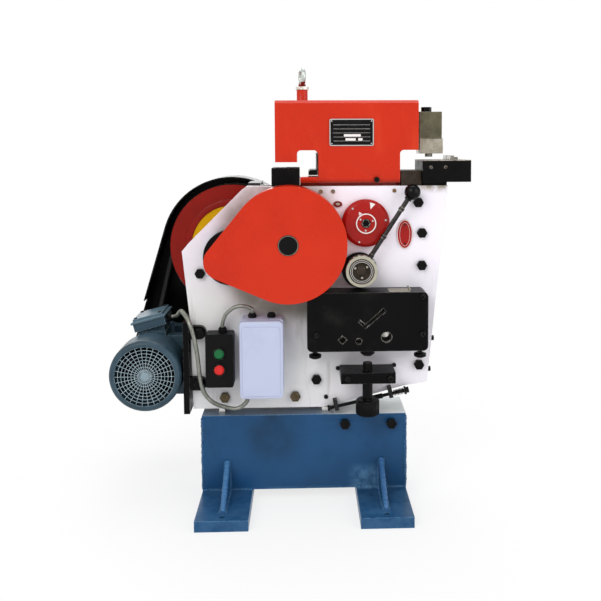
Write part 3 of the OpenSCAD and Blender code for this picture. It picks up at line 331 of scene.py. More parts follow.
def castPaint(name, colour, shade, grime):
    # paint over a rough casting, darker where oil and dust stay
    f = enamel(name, colour, shade, 0.4, 0.00005, 0.15, 0.3)
    f.lay(f.noise(28, 6, 0.7).clip(0.5, 0.78) * 0.55, grime)
    f.lay(f.worn(0.0025) * 0.8, "b9cbd0")
    f.texture(None, f.noise(380, 4, 0.7) + f.noise(60, 3), 0.00018)


def toolSteel(name, colour, shade, rough=0.42):
    # ground steel with an oil film, brown flecks and bright edges
    f = Finish(name, colour, Metallic=0.6)
    film = f.noise(30, 6, 0.7).clip(0.35, 0.7)
    grind = f.noise(900, 2, 0.5, stretch=(0.06, 1, 1))
    f.lay(film, shade)
    f.lay(f.noise(120, 5, 0.75).clip(0.58, 0.68) * 0.5, "3c2f22")
    f.lay(f.worn(0.002) * 0.8, "d2cdc0")
    f.texture(film * 0.16 + grind * 0.16 + (rough - 0.14), grind + f.noise(240, 4, 0.7), 0.00005)


def brightSteel(name, colour, rough):
    f = Finish(name, colour, Metallic=1.0)
    film = f.noise(45, 5, 0.6).clip(0.4, 0.75)
    f.lay(film * 0.35, "8f8a80")
    f.lay(f.noise(300, 4, 0.7).clip(0.64, 0.72) * 0.5, "5b4636")
    f.texture(film * 0.15 + f.noise(500, 2, 0.5, stretch=(1, 0.08, 1)) * 0.12 + (rough - 0.1),
        f.noise(800, 2, 0.5, stretch=(1, 0.05, 1)), 0.00002)


def moulded(name, colour, shade, rough, grain, coat, gloss):
    # moulded plastic with a fine grain and a thin dirty film
    f = Finish(name, colour, Coat_Weight=coat, Coat_Roughness=0.1, Specular_IOR_Level=gloss)
    film = f.noise(14, 5, 0.6).clip(0.45, 0.8)
    f.lay(film * 0.6, shade)
    f.texture(film * 0.12 + f.noise(420, 2) * 0.1 + (rough - 0.08), f.cells(900), grain)


def makeBeltRubber():
    # the belts, corded along their length
    f = Finish("beltRubber", "161616")
    cord = f.noise(1400, 2, 0.5, stretch=(1, 0.05, 1))
    f.lay(f.noise(40, 4) * 0.5, "2d2c2a")
    f.texture(cord * 0.2 + 0.6, cord, 0.0001)


def makeConduitSteel():
    # the ribbed conduits
    f = Finish("conduitSteel", "8e9088", Metallic=0.75)
    film = f.noise(60, 5, 0.65).clip(0.4, 0.75)
    f.lay(film * 0.7, "5c5e56")
    f.texture(film * 0.2 + 0.3, f.noise(700, 3, 0.6), 0.00003)


def makeEyeSteel():
    # the lifting eye: a pale ring on a red-painted neck over a bright collar
    f = Finish("eyeSteel", "c5cbc6", Metallic=0.7)
    film = f.noise(130, 5, 0.7).clip(0.4, 0.7)
    f.lay(film, "8e948f")
    f.lay(f.z < 1.004, film.over("8a1f17", "5a1410"))
    f.lay(f.z < 0.9935, film.over("e2dfd6", "a09b8e"))
    f.texture(film * 0.2 + 0.28, f.noise(400, 4, 0.6), 0.00008)


def makePlateField():
    # the data plate's black anodised field
    f = Finish("plateField", "0d0d0e", Metallic=0.1, Specular_IOR_Level=0.1)
    film = f.noise(90, 4).clip(0.4, 0.8)
    f.lay(film * 0.3, "232327")
    f.texture(film * 0.2 + 0.35, f.noise(1200, 2, 0.5, stretch=(0.05, 1, 1)), 0.00001)


for make in (
        makeBluePaint, makePlatePaint, makeOrangePaint, makeBlackPaint, makeBlackSteel, makeTableSteel,
        makeScrewBlack, makeFlywheelPaint, makeBeltRubber, makeConduitSteel, makeEyeSteel, makePlateField):
    make()

# what each function makes: name, colour and shade, then its own settings
families = {
    enamel: (
        # a paler copy of the stand's blue, a painted highlight for the gusset edges
        ("rubbedBlue", "3f74a6", "28588a", 0.3, 0.00009, 0.3, 0.4, 0.3),
        ("crimsonPaint", "a6150f", "88100b", 0.25, 0.00003, 0.4, 0.15, 0.18),
        ("guardPaint", "cd2d0e", "be260b", 0.26, 0.00005, 0.4, 0.1, 0.16),
        ("webYellow", "ffc51c", "efb012", 0.4, 0.00008, 0.1, 0.3, 0.1),
        ("oilRed", "8e2a20", "5f1a14", 0.3, 0.00004, 0.3, 0.3),
        ("whiteMark", "efe9e6", "dcd4d0", 0.4, 0.00002, 0.1, 0.3)),
    castPaint: (
        # the lid's paint is a paler copy of the motor's, a painted highlight on the lid
        ("motorPaint", "3a5260", "2a3c46", "101416"), ("lidPaint", "566f7d", "455a66", "222a2f"),
        # a paler copy of the motor paint, a painted highlight on the grille's wires and boss
        ("grilleSteel", "8a9ea8", "70848e", "434f55")),
    toolSteel: (
        ("holderSteel", "625d48", "4a4635"), ("blockSteel", "a8a294", "857d6c"),
        ("throatSteel", "3c3025", "221a14", 0.5), ("bladeSteel", "8f8c84", "6b675e", 0.36),
        ("gearSteel", "6e6a62", "4a453c", 0.36), ("leverSteel", "2c2926", "131110", 0.26),
        ("bronze", "7d5a33", "4c351c", 0.36)),
    brightSteel: (("brightSteel", "c9c8c6", 0.26), ("ringSteel", "b9b5a4", 0.32)),
    moulded: (
        ("palePlastic", "bec5de", "afb6d2", 0.34, 0.00002, 0.1, 0.16),
        ("darkPlastic", "0c0c0d", "141413", 0.42, 0.00004, 0.0, 0.1),
        ("knobBlack", "050506", "0a0a0b", 0.16, 0.00001, 0.05, 0.1),
        ("greenPlastic", "0a6636", "074f29", 0.3, 0.00001, 0.2, 0.2),
        ("redPlastic", "d8231f", "b81b18", 0.3, 0.00001, 0.2, 0.2)),
}
for make, rows in families.items():
    for row in rows:
        make(*row)
print("finishes made:", len(finishes))


def camelName(node):
    first, *rest = node.split("_")
    return first + "".join(word.capitalize() for word in rest)


def settle(thing):
    # turns what the modifiers make into a plain mesh
    bpy.context.view_layer.update()
    graph = bpy.context.evaluated_depsgraph_get()
    mesh = bpy.data.meshes.new_from_object(thing.evaluated_get(graph), depsgraph=graph)
    thing.modifiers.clear()
    thing.data = mesh


def coat(mesh, finish):
    mesh.materials.clear()
    mesh.materials.append(finishes[finish])


def addPiece(name, mesh, body, finish, bevel=0.0, steps=2, smoothTo=40):
    thing = added(name, mesh)
    coat(mesh, finish)
    if smoothTo:
        mesh.polygons.foreach_set("use_smooth", [True] * len(mesh.polygons))
        mesh.set_sharp_from_angle(angle=math.radians(smoothTo))
    if bevel:
        modifier = thing.modifiers.new("edges", "BEVEL")
        modifier.width = bevel
        modifier.segments = steps
        modifier.limit_method = "ANGLE"
        modifier.angle_limit = math.radians(35)
        modifier.harden_normals = True
        settle(thing)
    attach(thing, body)
    return thing


def written(shape, name="shape"):
    mesh = bpy.data.meshes.new(name)
    shape.to_mesh(mesh)
    shape.free()
    return mesh


def closed(shape, place=None):
    # doubles merged, faces outward
    if place:
        shape.transform(place)
    bmesh.ops.remove_doubles(shape, verts=shape.verts, dist=1e-6)
    bmesh.ops.recalc_face_normals(shape, faces=shape.faces)
    return written(shape)


def at(x, z, y=0.0):
    return Matrix.Translation((x, y, z))


def turned(profile, sides, place):
    # a closed ring of points [radius, y] spun about the Y axis, then placed
    shape = bmesh.new()
    rings = []
    for i in range(sides):
        a = 2 * math.pi * i / sides
        rings.append([shape.verts.new((r * math.cos(a), y, r * math.sin(a))) for r, y in profile])
    count = len(profile)
    for here, there in zip(rings, rings[1:] + rings[:1]):
        for k in range(count):
            corners = [here[k], here[(k + 1) % count], there[(k + 1) % count], there[k]]
            if len({tuple(round(v, 7) for v in c.co) for c in corners}) > 2:
                shape.faces.new(corners)
    return closed(shape, place)


def prism(outline, near, far, hole=()):
    # an outline in X and Z given a depth in Y; a hole has as many corners as its outline
    shape = bmesh.new()
    front, back, innerFront, innerBack = (
        [shape.verts.new((x, y, z)) for x, z in line] for line in (outline, hole) for y in (near, far))
    if hole:
        for i in range(len(outline)):
            k = (i + 1) % len(outline)
            shape.faces.new([front[i], front[k], innerFront[k], innerFront[i]])
            shape.faces.new([back[i], innerBack[i], innerBack[k], back[k]])
    else:
        shape.faces.new(front)
        shape.faces.new(back[::-1])
    for a, b in ((front, back), (innerFront, innerBack)):
        for i in range(len(a)):
            k = (i + 1) % len(a)
            shape.faces.new([a[i], a[k], b[k], b[i]])
    return closed(shape)


def around(x, z, r, *degrees):
    # points on a circle
    return [(x + r * math.cos(math.radians(a)), z + r * math.sin(math.radians(a))) for a in degrees]


def ellipse(x, z, half, rise, count):
    angles = [2 * math.pi * i / count for i in range(count)]
    return [(x + half * math.cos(a), z + rise * math.sin(a)) for a in angles]


def circle(x, z, r, count=48):
    return ellipse(x, z, r, r, count)


def rectangle(x0, z0, x1, z1):
    return [(x0, z0), (x1, z0), (x1, z1), (x0, z1)]


def slanted(x, z, degrees, points):
    # points [along, across] laid along a slanting line from x, z
    c, s = math.cos(math.radians(degrees)), math.sin(math.radians(degrees))
    return [(x + a * c - b * s, z + a * s + b * c) for a, b in points]


def roundedBox(x0, z0, x1, z1, r, steps=6):
    corners = [(x1 - r, z1 - r, 0), (x0 + r, z1 - r, 90), (x0 + r, z0 + r, 180), (x1 - r, z0 + r, 270)]
    return [point for x, z, start in corners
        for point in around(x, z, r, *(start + 90 * i / steps for i in range(steps + 1)))]


def joined(*meshes):
    shape = bmesh.new()
    for mesh in meshes:
        shape.from_mesh(mesh)
    return written(shape)


# CAD solids that keep their shape: the edges of the first ones are rounded, the rest only take a finish
roundedEdges = {
    "base_stand": ("bluePaint", 0.0022), "front_plate": ("platePaint", 0.0014),
    "rear_plate": ("platePaint", 0.0014), "ram": ("orangePaint", 0.0028),
    "notch_die": ("blackSteel", 0.0016), "throat_block": ("throatSteel", 0.0016),
    "punch_table": ("tableSteel", 0.0018), "shear_box": ("blackPaint", 0.0022),
    "jack_bracket": ("blackPaint", 0.002), "motor_bracket": ("blackPaint", 0.0016),
    "starter_box": ("palePlastic", 0.0012), "button_box": ("darkPlastic", 0.0012),
    "button_cover": ("darkPlastic", 0.002), "gear_guard": ("guardPaint", 0.0022),
    "round_cap": ("crimsonPaint", 0.0012), "oval_badge": ("crimsonPaint", 0.0008),
    "punch_holder": ("holderSteel", 0.0016), "punch_tool": ("blockSteel", 0.0014),
    "name_plate": ("plateField", 0.0004), "terminal_box": ("motorPaint", 0.003),
    "terminal_lid": ("lidPaint", 0.0024), "table_stop": ("bladeSteel", 0.001),
    "hex_bolts": ("screwBlack", 0.001), "belt_guard": ("blackPaint", 0.001),
    "lever_plate": ("blackPaint", 0.0012), "bearing_flanges": ("blackPaint", 0.0016),
}
plainFinish = {
    "brightSteel": ["frame_spacers", "pinion_bearings", "motor_shaft"],
    "bladeSteel": ["punch_die", "fixed_blade", "moving_blade", "punch"],
    "gearSteel": ["pinion_shaft", "bull_gear", "eccentric_shaft", "motor_pulley"],
    "screwBlack": [
        "cap_screws", "thumb_screws", "return_spring", "head_screws", "jack_screw", "jack_pad", "trip_rod"],
    "darkPlastic": ["cable_glands", "motor_fan"], "motorPaint": ["motor_body", "motor_cowl"],
    "bronze": ["eccentric_bushes"], "beltRubber": ["v_belts"], "flywheelPaint": ["flywheel"],
    "eyeSteel": ["lifting_eye"], "ringSteel": ["lever_hub"], "leverSteel": ["lever_rod"],
    "knobBlack": ["lever_knob"], "greenPlastic": ["start_button"], "redPlastic": ["stop_button"],
}


def dressNodes():
    for finish, names in plainFinish.items():
        for node in names:
            coat(nodes[node].data, finish)
    for node, (finish, width) in roundedEdges.items():
        shape = bmesh.new()
        shape.from_mesh(nodes[node].data)
        bmesh.ops.remove_doubles(shape, verts=shape.verts, dist=1e-6)
        bmesh.ops.dissolve_limit(shape, angle_limit=math.radians(0.4), verts=shape.verts, edges=shape.edges)
        piece = addPiece(camelName(node), written(shape, node), bodyOf[node], finish, bevel=width)
        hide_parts(node)
    print("nodes dressed:", len(roundedEdges) + sum(map(len, plainFinish.values())))


class Growth:
    # a geometry tree with named inputs: {label: default, or the socket's kind where it has none}
    def __init__(self, name, sizes):
        self.tree = bpy.data.node_groups.new(name, "GeometryNodeTree")
        face = self.tree.interface
        for way in ("INPUT", "OUTPUT"):
            face.new_socket("Geometry", in_out=way, socket_type="NodeSocketGeometry")
        for label, value in {**sizes, "Finish": "Material"}.items():
            kind = {float: "Float", int: "Int"}.get(type(value), value)
            socket = face.new_socket(label, in_out="INPUT", socket_type=f"NodeSocket{kind}")
            if kind != value:
                socket.default_value = value
        self.start = self.tree.nodes.new("NodeGroupInput")
        self.base = self["Geometry"]

    def __getitem__(self, label):
        return Wire(self.tree, self.start.outputs[label])

    def add(self, kind, inputs=None, settings=None, out=0):
        # a kind without a family is a geometry node
        return self.base.add(kind if "Node" in kind else "GeometryNode" + kind, inputs, settings, out)

    def random(self, low, high):
        return self.add("FunctionNodeRandomValue", {0: low, 1: high, "Seed": self["Seed"]},
            {"data_type": "FLOAT_VECTOR"})

    def join(self, *parts):
        node = self.tree.nodes.new("GeometryNodeJoinGeometry")
        for part in reversed(parts):
            self.tree.links.new(part.socket, node.inputs[0])
        return Wire(self.tree, node.outputs[0])

    def scatter(self, points, instance, turn=None, scale=None):
        return self.add("InstanceOnPoints",
            {"Points": points, "Instance": instance, "Rotation": turn, "Scale": scale})

    def ring(self, resolution, radius):
        return self.add("CurvePrimitiveCircle", {"Resolution": resolution, "Radius": radius})

    def sweep(self, line, section, caps=False):
        return self.add("CurveToMesh", {"Curve": line, "Profile Curve": section, "Fill Caps": caps})

    def spaced(self, line, step):
        return self.add("ResampleCurve", {"Curve": line, "Length": step}, {"mode": "LENGTH"})

    def along(self, axis, vector):
        # the turn that lays an axis along a vector
        return self.add("FunctionNodeAlignRotationToVector", {"Vector": vector}, {"axis": axis})

    def close(self, geometry):
        real = self.add("RealizeInstances", {0: geometry})
        smooth = self.add("SetShadeSmooth", {"Geometry": real, "Shade Smooth": True})
        done = self.add("SetMaterial", {"Geometry": smooth, "Material": self["Finish"]})
        end = self.tree.nodes.new("NodeGroupOutput")
        self.tree.links.new(done.socket, end.inputs[0])
        return self

    def grow(self, name, mesh, body, finish, slot, sharp=None, place=None, **values):
        thing = added(name, mesh)
        modifier = thing.modifiers.new("growth", "NODES")
        modifier.node_group = self.tree
        wanted = {**values, "Finish": finishes[finish]}
        for item in self.tree.interface.items_tree:
            if item.in_out == "INPUT" and item.name in wanted:
                modifier[item.identifier] = wanted[item.name]
        settle(thing)
        if sharp:
            thing.data.set_sharp_from_angle(angle=math.radians(sharp))
        if place:
            thing.data.transform(place)
        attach(thing, body)
        return thing


def pathMesh(*paths):
    mesh = bpy.data.meshes.new("path")
    points = [p for path in paths for p in path]
    edges, first = [], 0
    for path in paths:
        edges += [(first + i, first + i + 1) for i in range(len(path) - 1)]
        first += len(path)
    mesh.from_pydata(points, edges, [])
    return mesh


def beadTree():
    # a weld: overlapping beads along each edge of the base mesh
    g = Growth("weldRun", {"Spacing": 0.004, "Width": 0.007, "Seed": 1})
    line = g.spaced(g.add("MeshToCurve", {"Mesh": g.base}), g["Spacing"])
    bead = g.add("MeshUVSphere", {"Segments": 8, "Rings": 6, "Radius": g["Width"] / 2})
    turn = g.along("Z", g.add("InputTangent"))
    return g.close(g.scatter(line, bead, turn, g.random((0.8, 0.8, 0.7), (1.2, 1.2, 1.0))))


def ribbedTree():
    # flexible conduit: a smooth core with a rib at every pitch
    g = Growth("ribbedConduit", {"Core": 0.0048, "Rib": 0.0009, "Pitch": 0.003})
    line = g.add("MeshToCurve", {"Mesh": g.base})
    ring = g.ring(14, g["Core"])
    rib = g.sweep(ring, g.ring(4, g["Rib"]))
    ribs = g.scatter(g.spaced(line, g["Pitch"]), rib, g.along("Z", g.add("InputTangent")))
    return g.close(g.join(g.sweep(line, ring, True), ribs))


def screwTree():
    # a screw head with a recess, standing along its facing, at each point of the base mesh
    g = Growth("screwHead", {"Radius": 0.003, "Height": 0.0016, "Sides": 16, "Recess": 0.5,
        "Facing": "Rotation", "Seed": 3})
    disc = g.add("MeshCircle", {"Vertices": g["Sides"], "Radius": g["Radius"]}, {"fill_type": "NGON"})
    up = g.add("ShaderNodeCombineXYZ", {"Z": 1.0})

    def raised(mesh, top, height):
        mesh = g.add("ExtrudeMesh", {"Mesh": mesh, "Selection": top, "Offset": up, "Offset Scale": height})
        return mesh, Wire(g.tree, mesh.socket.node.outputs["Top"])

    def narrowed(mesh, top, scale):
        return g.add("ScaleElements", {"Geometry": mesh, "Selection": top, "Scale": scale})

    head, top = raised(disc, None, g["Height"] * 0.75)
    crown, top = raised(head, top, g["Height"] * 0.25)
    inner, top = raised(narrowed(crown, top, 0.86), top, 0.0)
    hole, top = raised(narrowed(inner, top, g["Recess"]), top, g["Height"] * -0.7)
    spin = g.add("FunctionNodeEulerToRotation", {0: g.random((0.0, 0.0, 0.0), (0.0, 0.0, 6.28))})
    turn = g.add("FunctionNodeRotateRotation", {"Rotation": g["Facing"], "Rotate By": spin},
        {"rotation_space": "LOCAL"})
    return g.close(g.scatter(g.base, hole, turn))


def grilleTree():
    # a fan grille about the origin: rings and spokes of wire, domed along Z
    g = Growth("wireGrille", {"Reach": 0.07, "Rings": 7, "Spokes": 24, "Wire": 0.0012, "Dome": 0.004})
    hub = 0.008
    index = g.add("InputIndex")
    centres, hubs = (g.add("MeshLine", {"Count": g[label], "Offset": (0.0, 0.0, 0.0)})
        for label in ("Rings", "Spokes"))
    rings = g.scatter(centres, g.ring(40, g["Reach"]), scale=(index + 1) / g["Rings"])
    spoke = g.add("CurvePrimitiveLine", {"Start": (hub, 0.0, 0.0), "Direction": (1.0, 0.0, 0.0),
        "Length": g["Reach"] - hub}, {"mode": "DIRECTION"})
    spoke = g.add("ResampleCurve", {"Curve": spoke, "Count": 8}, {"mode": "COUNT"})
    turn = g.add("ShaderNodeCombineXYZ", {"Z": index * (2 * math.pi) / g["Spokes"]})
    spokes = g.scatter(hubs, spoke, g.add("FunctionNodeEulerToRotation", {0: turn}))
    lines = g.add("RealizeInstances", {0: g.join(rings, spokes)})
    away = g.add("ShaderNodeVectorMath", {0: g.add("InputPosition")}, {"operation": "LENGTH"}, out="Value")
    share = away / g["Reach"]
    lift = g.add("ShaderNodeCombineXYZ", {"Z": (1 - share * share) * g["Dome"]})
    lines = g.add("SetPosition", {"Geometry": lines, "Offset": lift})
    return g.close(g.sweep(lines, g.ring(6, g["Wire"])))


def ridgeTree():
    # grip ridges round the Z axis, each a narrow bar standing on the rim
    g = Growth("gripRidges", {"Radius": 0.02, "Length": 0.02, "Count": 24, "Width": 0.002, "Proud": 0.0008})
    rim = g.add("MeshCircle", {"Vertices": g["Count"], "Radius": g["Radius"]})
    size = g.add("ShaderNodeCombineXYZ", {"X": g["Proud"] * 2, "Y": g["Width"], "Z": g["Length"]})
    bar = g.add("MeshCube", {"Size": size})
    out = g.add("ShaderNodeVectorMath", {0: g.add("InputPosition")}, {"operation": "NORMALIZE"})
    return g.close(g.scatter(rim, bar, g.along("X", out)))


weldRun, ribbedConduit, screwHead, wireGrille, gripRidges = (
    beadTree(), ribbedTree(), screwTree(), grilleTree(), ridgeTree())
facingFront = (math.pi / 2, 0.0, 0.0)
print("geometry trees built")


def addScrews(name, points, body, finish, slot, radius, height, sides, recess, facing=facingFront):
    screwHead.grow(name, pathMesh(*([point] for point in points)), body, finish, slot, sharp=30,
        Radius=radius, Height=height, Sides=sides, Recess=recess, Facing=facing)


def addRidges(name, place, body, finish, slot, radius, length, count, width, proud):
    gripRidges.grow(name, pathMesh([(0, 0, 0)]), body, finish, slot, place=place,
        Radius=radius, Length=length, Count=count, Width=width, Proud=proud)


def smoothLine(points, steps=8):
    # a rounded line through every point
    ends = [points[0], *points, points[-1]]
    line = []
    for i in range(len(points) - 1):
        a, b, c, d = (Vector(p) for p in ends[i:i + 4])
        for step in range(steps):
            t = step / steps
            line.append(b + (c - a) * (t / 2) + (a * 2 - b * 5 + c * 4 - d) * (t * t / 2)
                + (b * 3 - a - c * 3 + d) * (t ** 3 / 2))
    return line + [Vector(points[-1])]


# two ribbed steel conduits: motor box to starter, push buttons to starter
conduits = {
    "motorConduit": {
        "core": 0.0049, "rib": 0.0007, "pitch": 0.0042, "replaces": "motor_conduit", "line": [
        (-0.3394, 0.054, 0.4217), (-0.3298, 0.054, 0.4243), (-0.3182, 0.054, 0.4274), (-0.304, 0.016, 0.445),
        (-0.289, -0.036, 0.454), (-0.27, -0.071, 0.439), (-0.256, -0.079, 0.396), (-0.249, -0.079, 0.348),
        (-0.245, -0.079, 0.308), (-0.236, -0.077, 0.271), (-0.217, -0.072, 0.246), (-0.188, -0.068, 0.232),
        (-0.158, -0.068, 0.228), (-0.137, -0.07, 0.244), (-0.135, -0.07, 0.253), (-0.135, -0.07, 0.262)]},
    "stationConduit": {
        "core": 0.0044, "rib": 0.0007, "pitch": 0.0042, "replaces": "station_conduit", "line": [
        (-0.192, -0.063, 0.4165), (-0.192, -0.063, 0.4245), (-0.192, -0.063, 0.4325), (-0.184, -0.064, 0.454),
        (-0.164, -0.067, 0.471), (-0.142, -0.069, 0.475), (-0.123, -0.07, 0.469), (-0.121, -0.07, 0.46),
        (-0.121, -0.07, 0.452)]},
}


def addConduits():
    for name, c in conduits.items():
        line = smoothLine(c["line"])
        length = sum((b - a).length for a, b in zip(line, line[1:]))
        tube = ribbedConduit.grow(name, pathMesh(line), "root", "conduitSteel", "conduit_grey",
            Core=c["core"], Rib=c["rib"], Pitch=c["pitch"])
        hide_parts(c["replaces"])
        line[0]
        2 * (c["core"] + c["rib"])
        print(name, "length", round(length, 4))


stand = Sizes(footTop=0.025, boxFront=0.06, boxSide=0.245, boxTop=0.2, footX=0.185, half=0.06,
    gusset=0.006, reach=0.178, rise=0.097)


def addStandDetails():
    # weld beads where plates meet, and rounded rods laid along the sloping gusset edges in a paler blue that
    # paints their highlight
    runs, rods = [], []
    low, back = stand.footTop, stand.gusset
    for side in (-1, 1):
        x = side * stand.footX
        for face in (-1, 1):
            y, far = face * stand.boxFront, face * stand.reach
            for edge in (-1, 1):
                wall, outer = x + edge * stand.gusset, x + edge * stand.half
                runs.append([(wall, y, low), (wall, far, low)])
                runs.append([(wall, y, low), (wall, y, stand.rise)])
                runs.append([(wall, y, low), (outer - edge * 0.002, y, low)])
            runs.append([(x - back, far, low), (x + back, far, low)])
            rods.append([(x, y + face * 0.0025, stand.rise - 0.0025), (x, far - face * 0.0015, low + 0.0055)])
        corner = side * (stand.boxSide - 0.001)
        runs.append([(corner, 0.002 - stand.boxFront, 0.03), (corner, 0.002 - stand.boxFront, stand.boxTop)])
    weldRun.grow("standWelds", pathMesh(*runs), "root", "bluePaint", "blue_paint",
        Spacing=0.0042, Width=0.0078, Seed=7)
    weldRun.grow("gussetEdges", pathMesh(*rods), "root", "rubbedBlue", "blue_paint",
        Spacing=0.0016, Width=0.0118, Seed=2)


throatLiner = Sizes(halfDepth=0.0445, outline=[
    (0.0355, 0.782), (0.0355, 0.832), (0.0325, 0.836), (0.0325, 0.795), (0.017, 0.795), (0.014, 0.7915),
    (0.014, 0.782)])
dataPlate = Sizes(corner=0.004, rim=0.0024, margin=0.009, firstLine=0.0145, firstField=0.0135,
    pitch=0.0095, lines=5, lineHeight=0.0004, fieldHeight=0.0058, rivetInset=0.0055,
    fields=((0.034, 0.074, 3), (0.038, 0.062, 4), (0.068, 0.078, 4)))


def addHeadDetails():
    # a black sheet in the left throat that paints the shade inside it, and the rim, rivets and blank fields
    # of the data plate
    depth = throatLiner.halfDepth
    # painted shade: a black sheet along the left throat's wall and floor
    addPiece("throatLiner", prism(throatLiner.outline, -depth, depth), "ram_set", "blackSteel",
        bevel=0.0008)
    p = dataPlate
    low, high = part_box("name_plate")
    front, rim = low.y, p.rim
    outer = roundedBox(low.x, low.z, high.x, high.z, p.corner)
    inner = roundedBox(low.x + rim, low.z + rim, high.x - rim, high.z - rim, rim)
    addPiece("dataPlateRim", prism(outer, front - 0.0008, front + 0.0002, inner), "ram_set", "brightSteel",
        bevel=0.0002, steps=1)
    blanks = []
    for row in range(p.lines):
        z = high.z - p.firstLine - row * p.pitch
        line = rectangle(low.x + p.margin, z, high.x - p.margin, z + p.lineHeight)
        blanks.append(prism(line, front - 0.0003, front + 0.0001))
    for left, right, row in p.fields:
        z = high.z - p.firstField - row * p.pitch
        field = roundedBox(low.x + left, z, low.x + right, z + p.fieldHeight, 0.001, 3)
        blanks.append(prism(field, front - 0.0004, front + 0.0001))
    addPiece("dataPlateFields", joined(*blanks), "ram_set", "whiteMark", smoothTo=0)
    inset = p.rivetInset
    rivets = [(x, front - 0.0006, z)
        for x in (low.x + inset, high.x - inset) for z in (low.z + inset, high.z - inset)]
    addScrews("dataPlateRivets", rivets, "ram_set", "brightSteel", "plate_black", 0.0017, 0.0009, 12, 0.3)


# pointers: degrees, tip, base and half width, measured from the cap's axis; screws: radius, Y and degrees
cap = Sizes(x=0.149, z=0.668, face=-0.063, boss=-0.067, ring=0.0225,
    screws=((0.047, -0.063, (132, 9, 250)), (0.0165, -0.067, (22, 144, 266))),
    pointers=((72, 0.035, 0.0505, 0.0068), (121, 0.0325, 0.0243, 0.005)),
    socket=[(0.0, -0.0632), (0.0095, -0.0632), (0.0095, -0.0672), (0.0105, -0.0676), (0.0112, -0.0672),
    (0.0112, -0.0626), (0.0, -0.0626)])


def addCapMarks():
    # the round cap: white ring, two pointers, a dark hexagon socket, screws on its rim and inside the ring
    x, z, face, boss = cap.x, cap.z, cap.face, cap.boss
    outer, inner = circle(x, z, cap.ring + 0.0016), circle(x, z, cap.ring - 0.0012)
    marks = [prism(outer, boss - 0.0006, boss + 0.0002, inner)]
    for angle, tip, base, half in cap.pointers:
        pointer = slanted(x, z, angle, [(tip, 0.0), (base, -half), (base, half)])
        marks.append(prism(pointer, face - 0.0006, face + 0.0002))
    addPiece("capMarks", joined(*marks), "root", "whiteMark", bevel=0.0002, steps=1)
    points = [(px, y, pz) for r, y, degrees in cap.screws for px, pz in around(x, z, r, *degrees)]
    addScrews("capScrews", points, "root", "brightSteel", "red_paint", 0.0024, 0.0014, 12, 0.5)
    addPiece("capSocket", turned(cap.socket, 6, at(x, z)), "root", "blackSteel",
        smoothTo=20, bevel=0.0003)


# how far each edge of the two lines stands inside the badge's own edge, and how far they stand proud
badge = Sizes(lines=((0.0003, 0.0019, 0.0006), (0.0065, 0.0072, 0.0004)), rivetInset=0.0125)


def addBadgeMarks():
    # a pale rim, a plain pale line inside it and two rivets; the field stays bare
    low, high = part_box("oval_badge")
    x, z = (low.x + high.x) / 2, (low.z + high.z) / 2
    half, rise = (high.x - low.x) / 2, (high.z - low.z) / 2
    lines = []
    for outside, inside, proud in badge.lines:
        outer, inner = (ellipse(x, z, half - shrink, rise - shrink, 56) for shrink in (outside, inside))
        lines.append(prism(outer, low.y - proud, low.y + 0.0002, inner))
    addPiece("badgeRims", joined(*lines), "root", "whiteMark", bevel=0.0002, steps=1)
    inset = badge.rivetInset
    rivets = [(x, low.y, z + rise - inset), (x, low.y, z - rise + inset)]
    addScrews("badgeRivets", rivets, "root", "screwBlack", "red_paint", 0.0022, 0.0012, 12, 0.4)


plate = Sizes(face=-0.045, screws=((0.072, 0.7435), (0.218, 0.7445), (0.043, 0.7435)),
    pins=((0.082, 0.316), (0.218, 0.322), (0.053, 0.246)))
oilCup = Sizes(x=0.083, z=0.713, squash=0.68,
    cup=[(0.0, -0.0032), (0.0052, -0.0032), (0.0058, -0.0026), (0.0058, -0.0012), (0.0072, -0.0008),
    (0.0092, -0.0034), (0.0105, -0.0034), (0.0108, -0.0026), (0.0108, 0.0003), (0.0, 0.0003)],
    lid=[(0.0, -0.0042), (0.0042, -0.0042), (0.005, -0.0036), (0.005, -0.003), (0.0, -0.003)])


def addPlateFittings():
    # small screws and pins on the front plate, and an oil cup with its lid
    face = plate.face
    addScrews("plateScrews", [(x, face, z) for x, z in plate.screws], "root", "bronze", "screw_black",
        0.0052, 0.003, 6, 0.4)
    addScrews("platePins", [(x, face, z) for x, z in plate.pins], "root", "screwBlack", "screw_black",
        0.0052, 0.004, 16, 0.5)
    place = at(oilCup.x, oilCup.z, face) @ Matrix.Diagonal((1, 1, oilCup.squash, 1))
    addPiece("oilCup", turned(oilCup.cup, 36, place), "root", "oilRed")
    addPiece("oilCupLid", turned(oilCup.lid, 30, place), "root", "blockSteel")


# bores: X, Z, radius and width of ring; slot lips: start and end along the slot, and outer edge
shear = Sizes(stripX=(0.199, 0.247, 0.249), stripLip=(0.002, 0.0025, 0.009), stripY=(0.005, 0.043),
    bores=((0.193, 0.407, 0.0121, 0.0011), (0.128, 0.398, 0.0071, 0.0009)), square=(0.09, 0.402),
    squareReach=(0.0109, 0.00995), slotStart=(0.144, 0.433), slotTurn=41, slotHalf=0.00405,
    slotLips=((0.0, 0.0575, 0.0047), (0.047, 0.0605, 0.0056)))
thumbGrips = {"thumbGripLeft": 0.027, "thumbGripRight": 0.276}


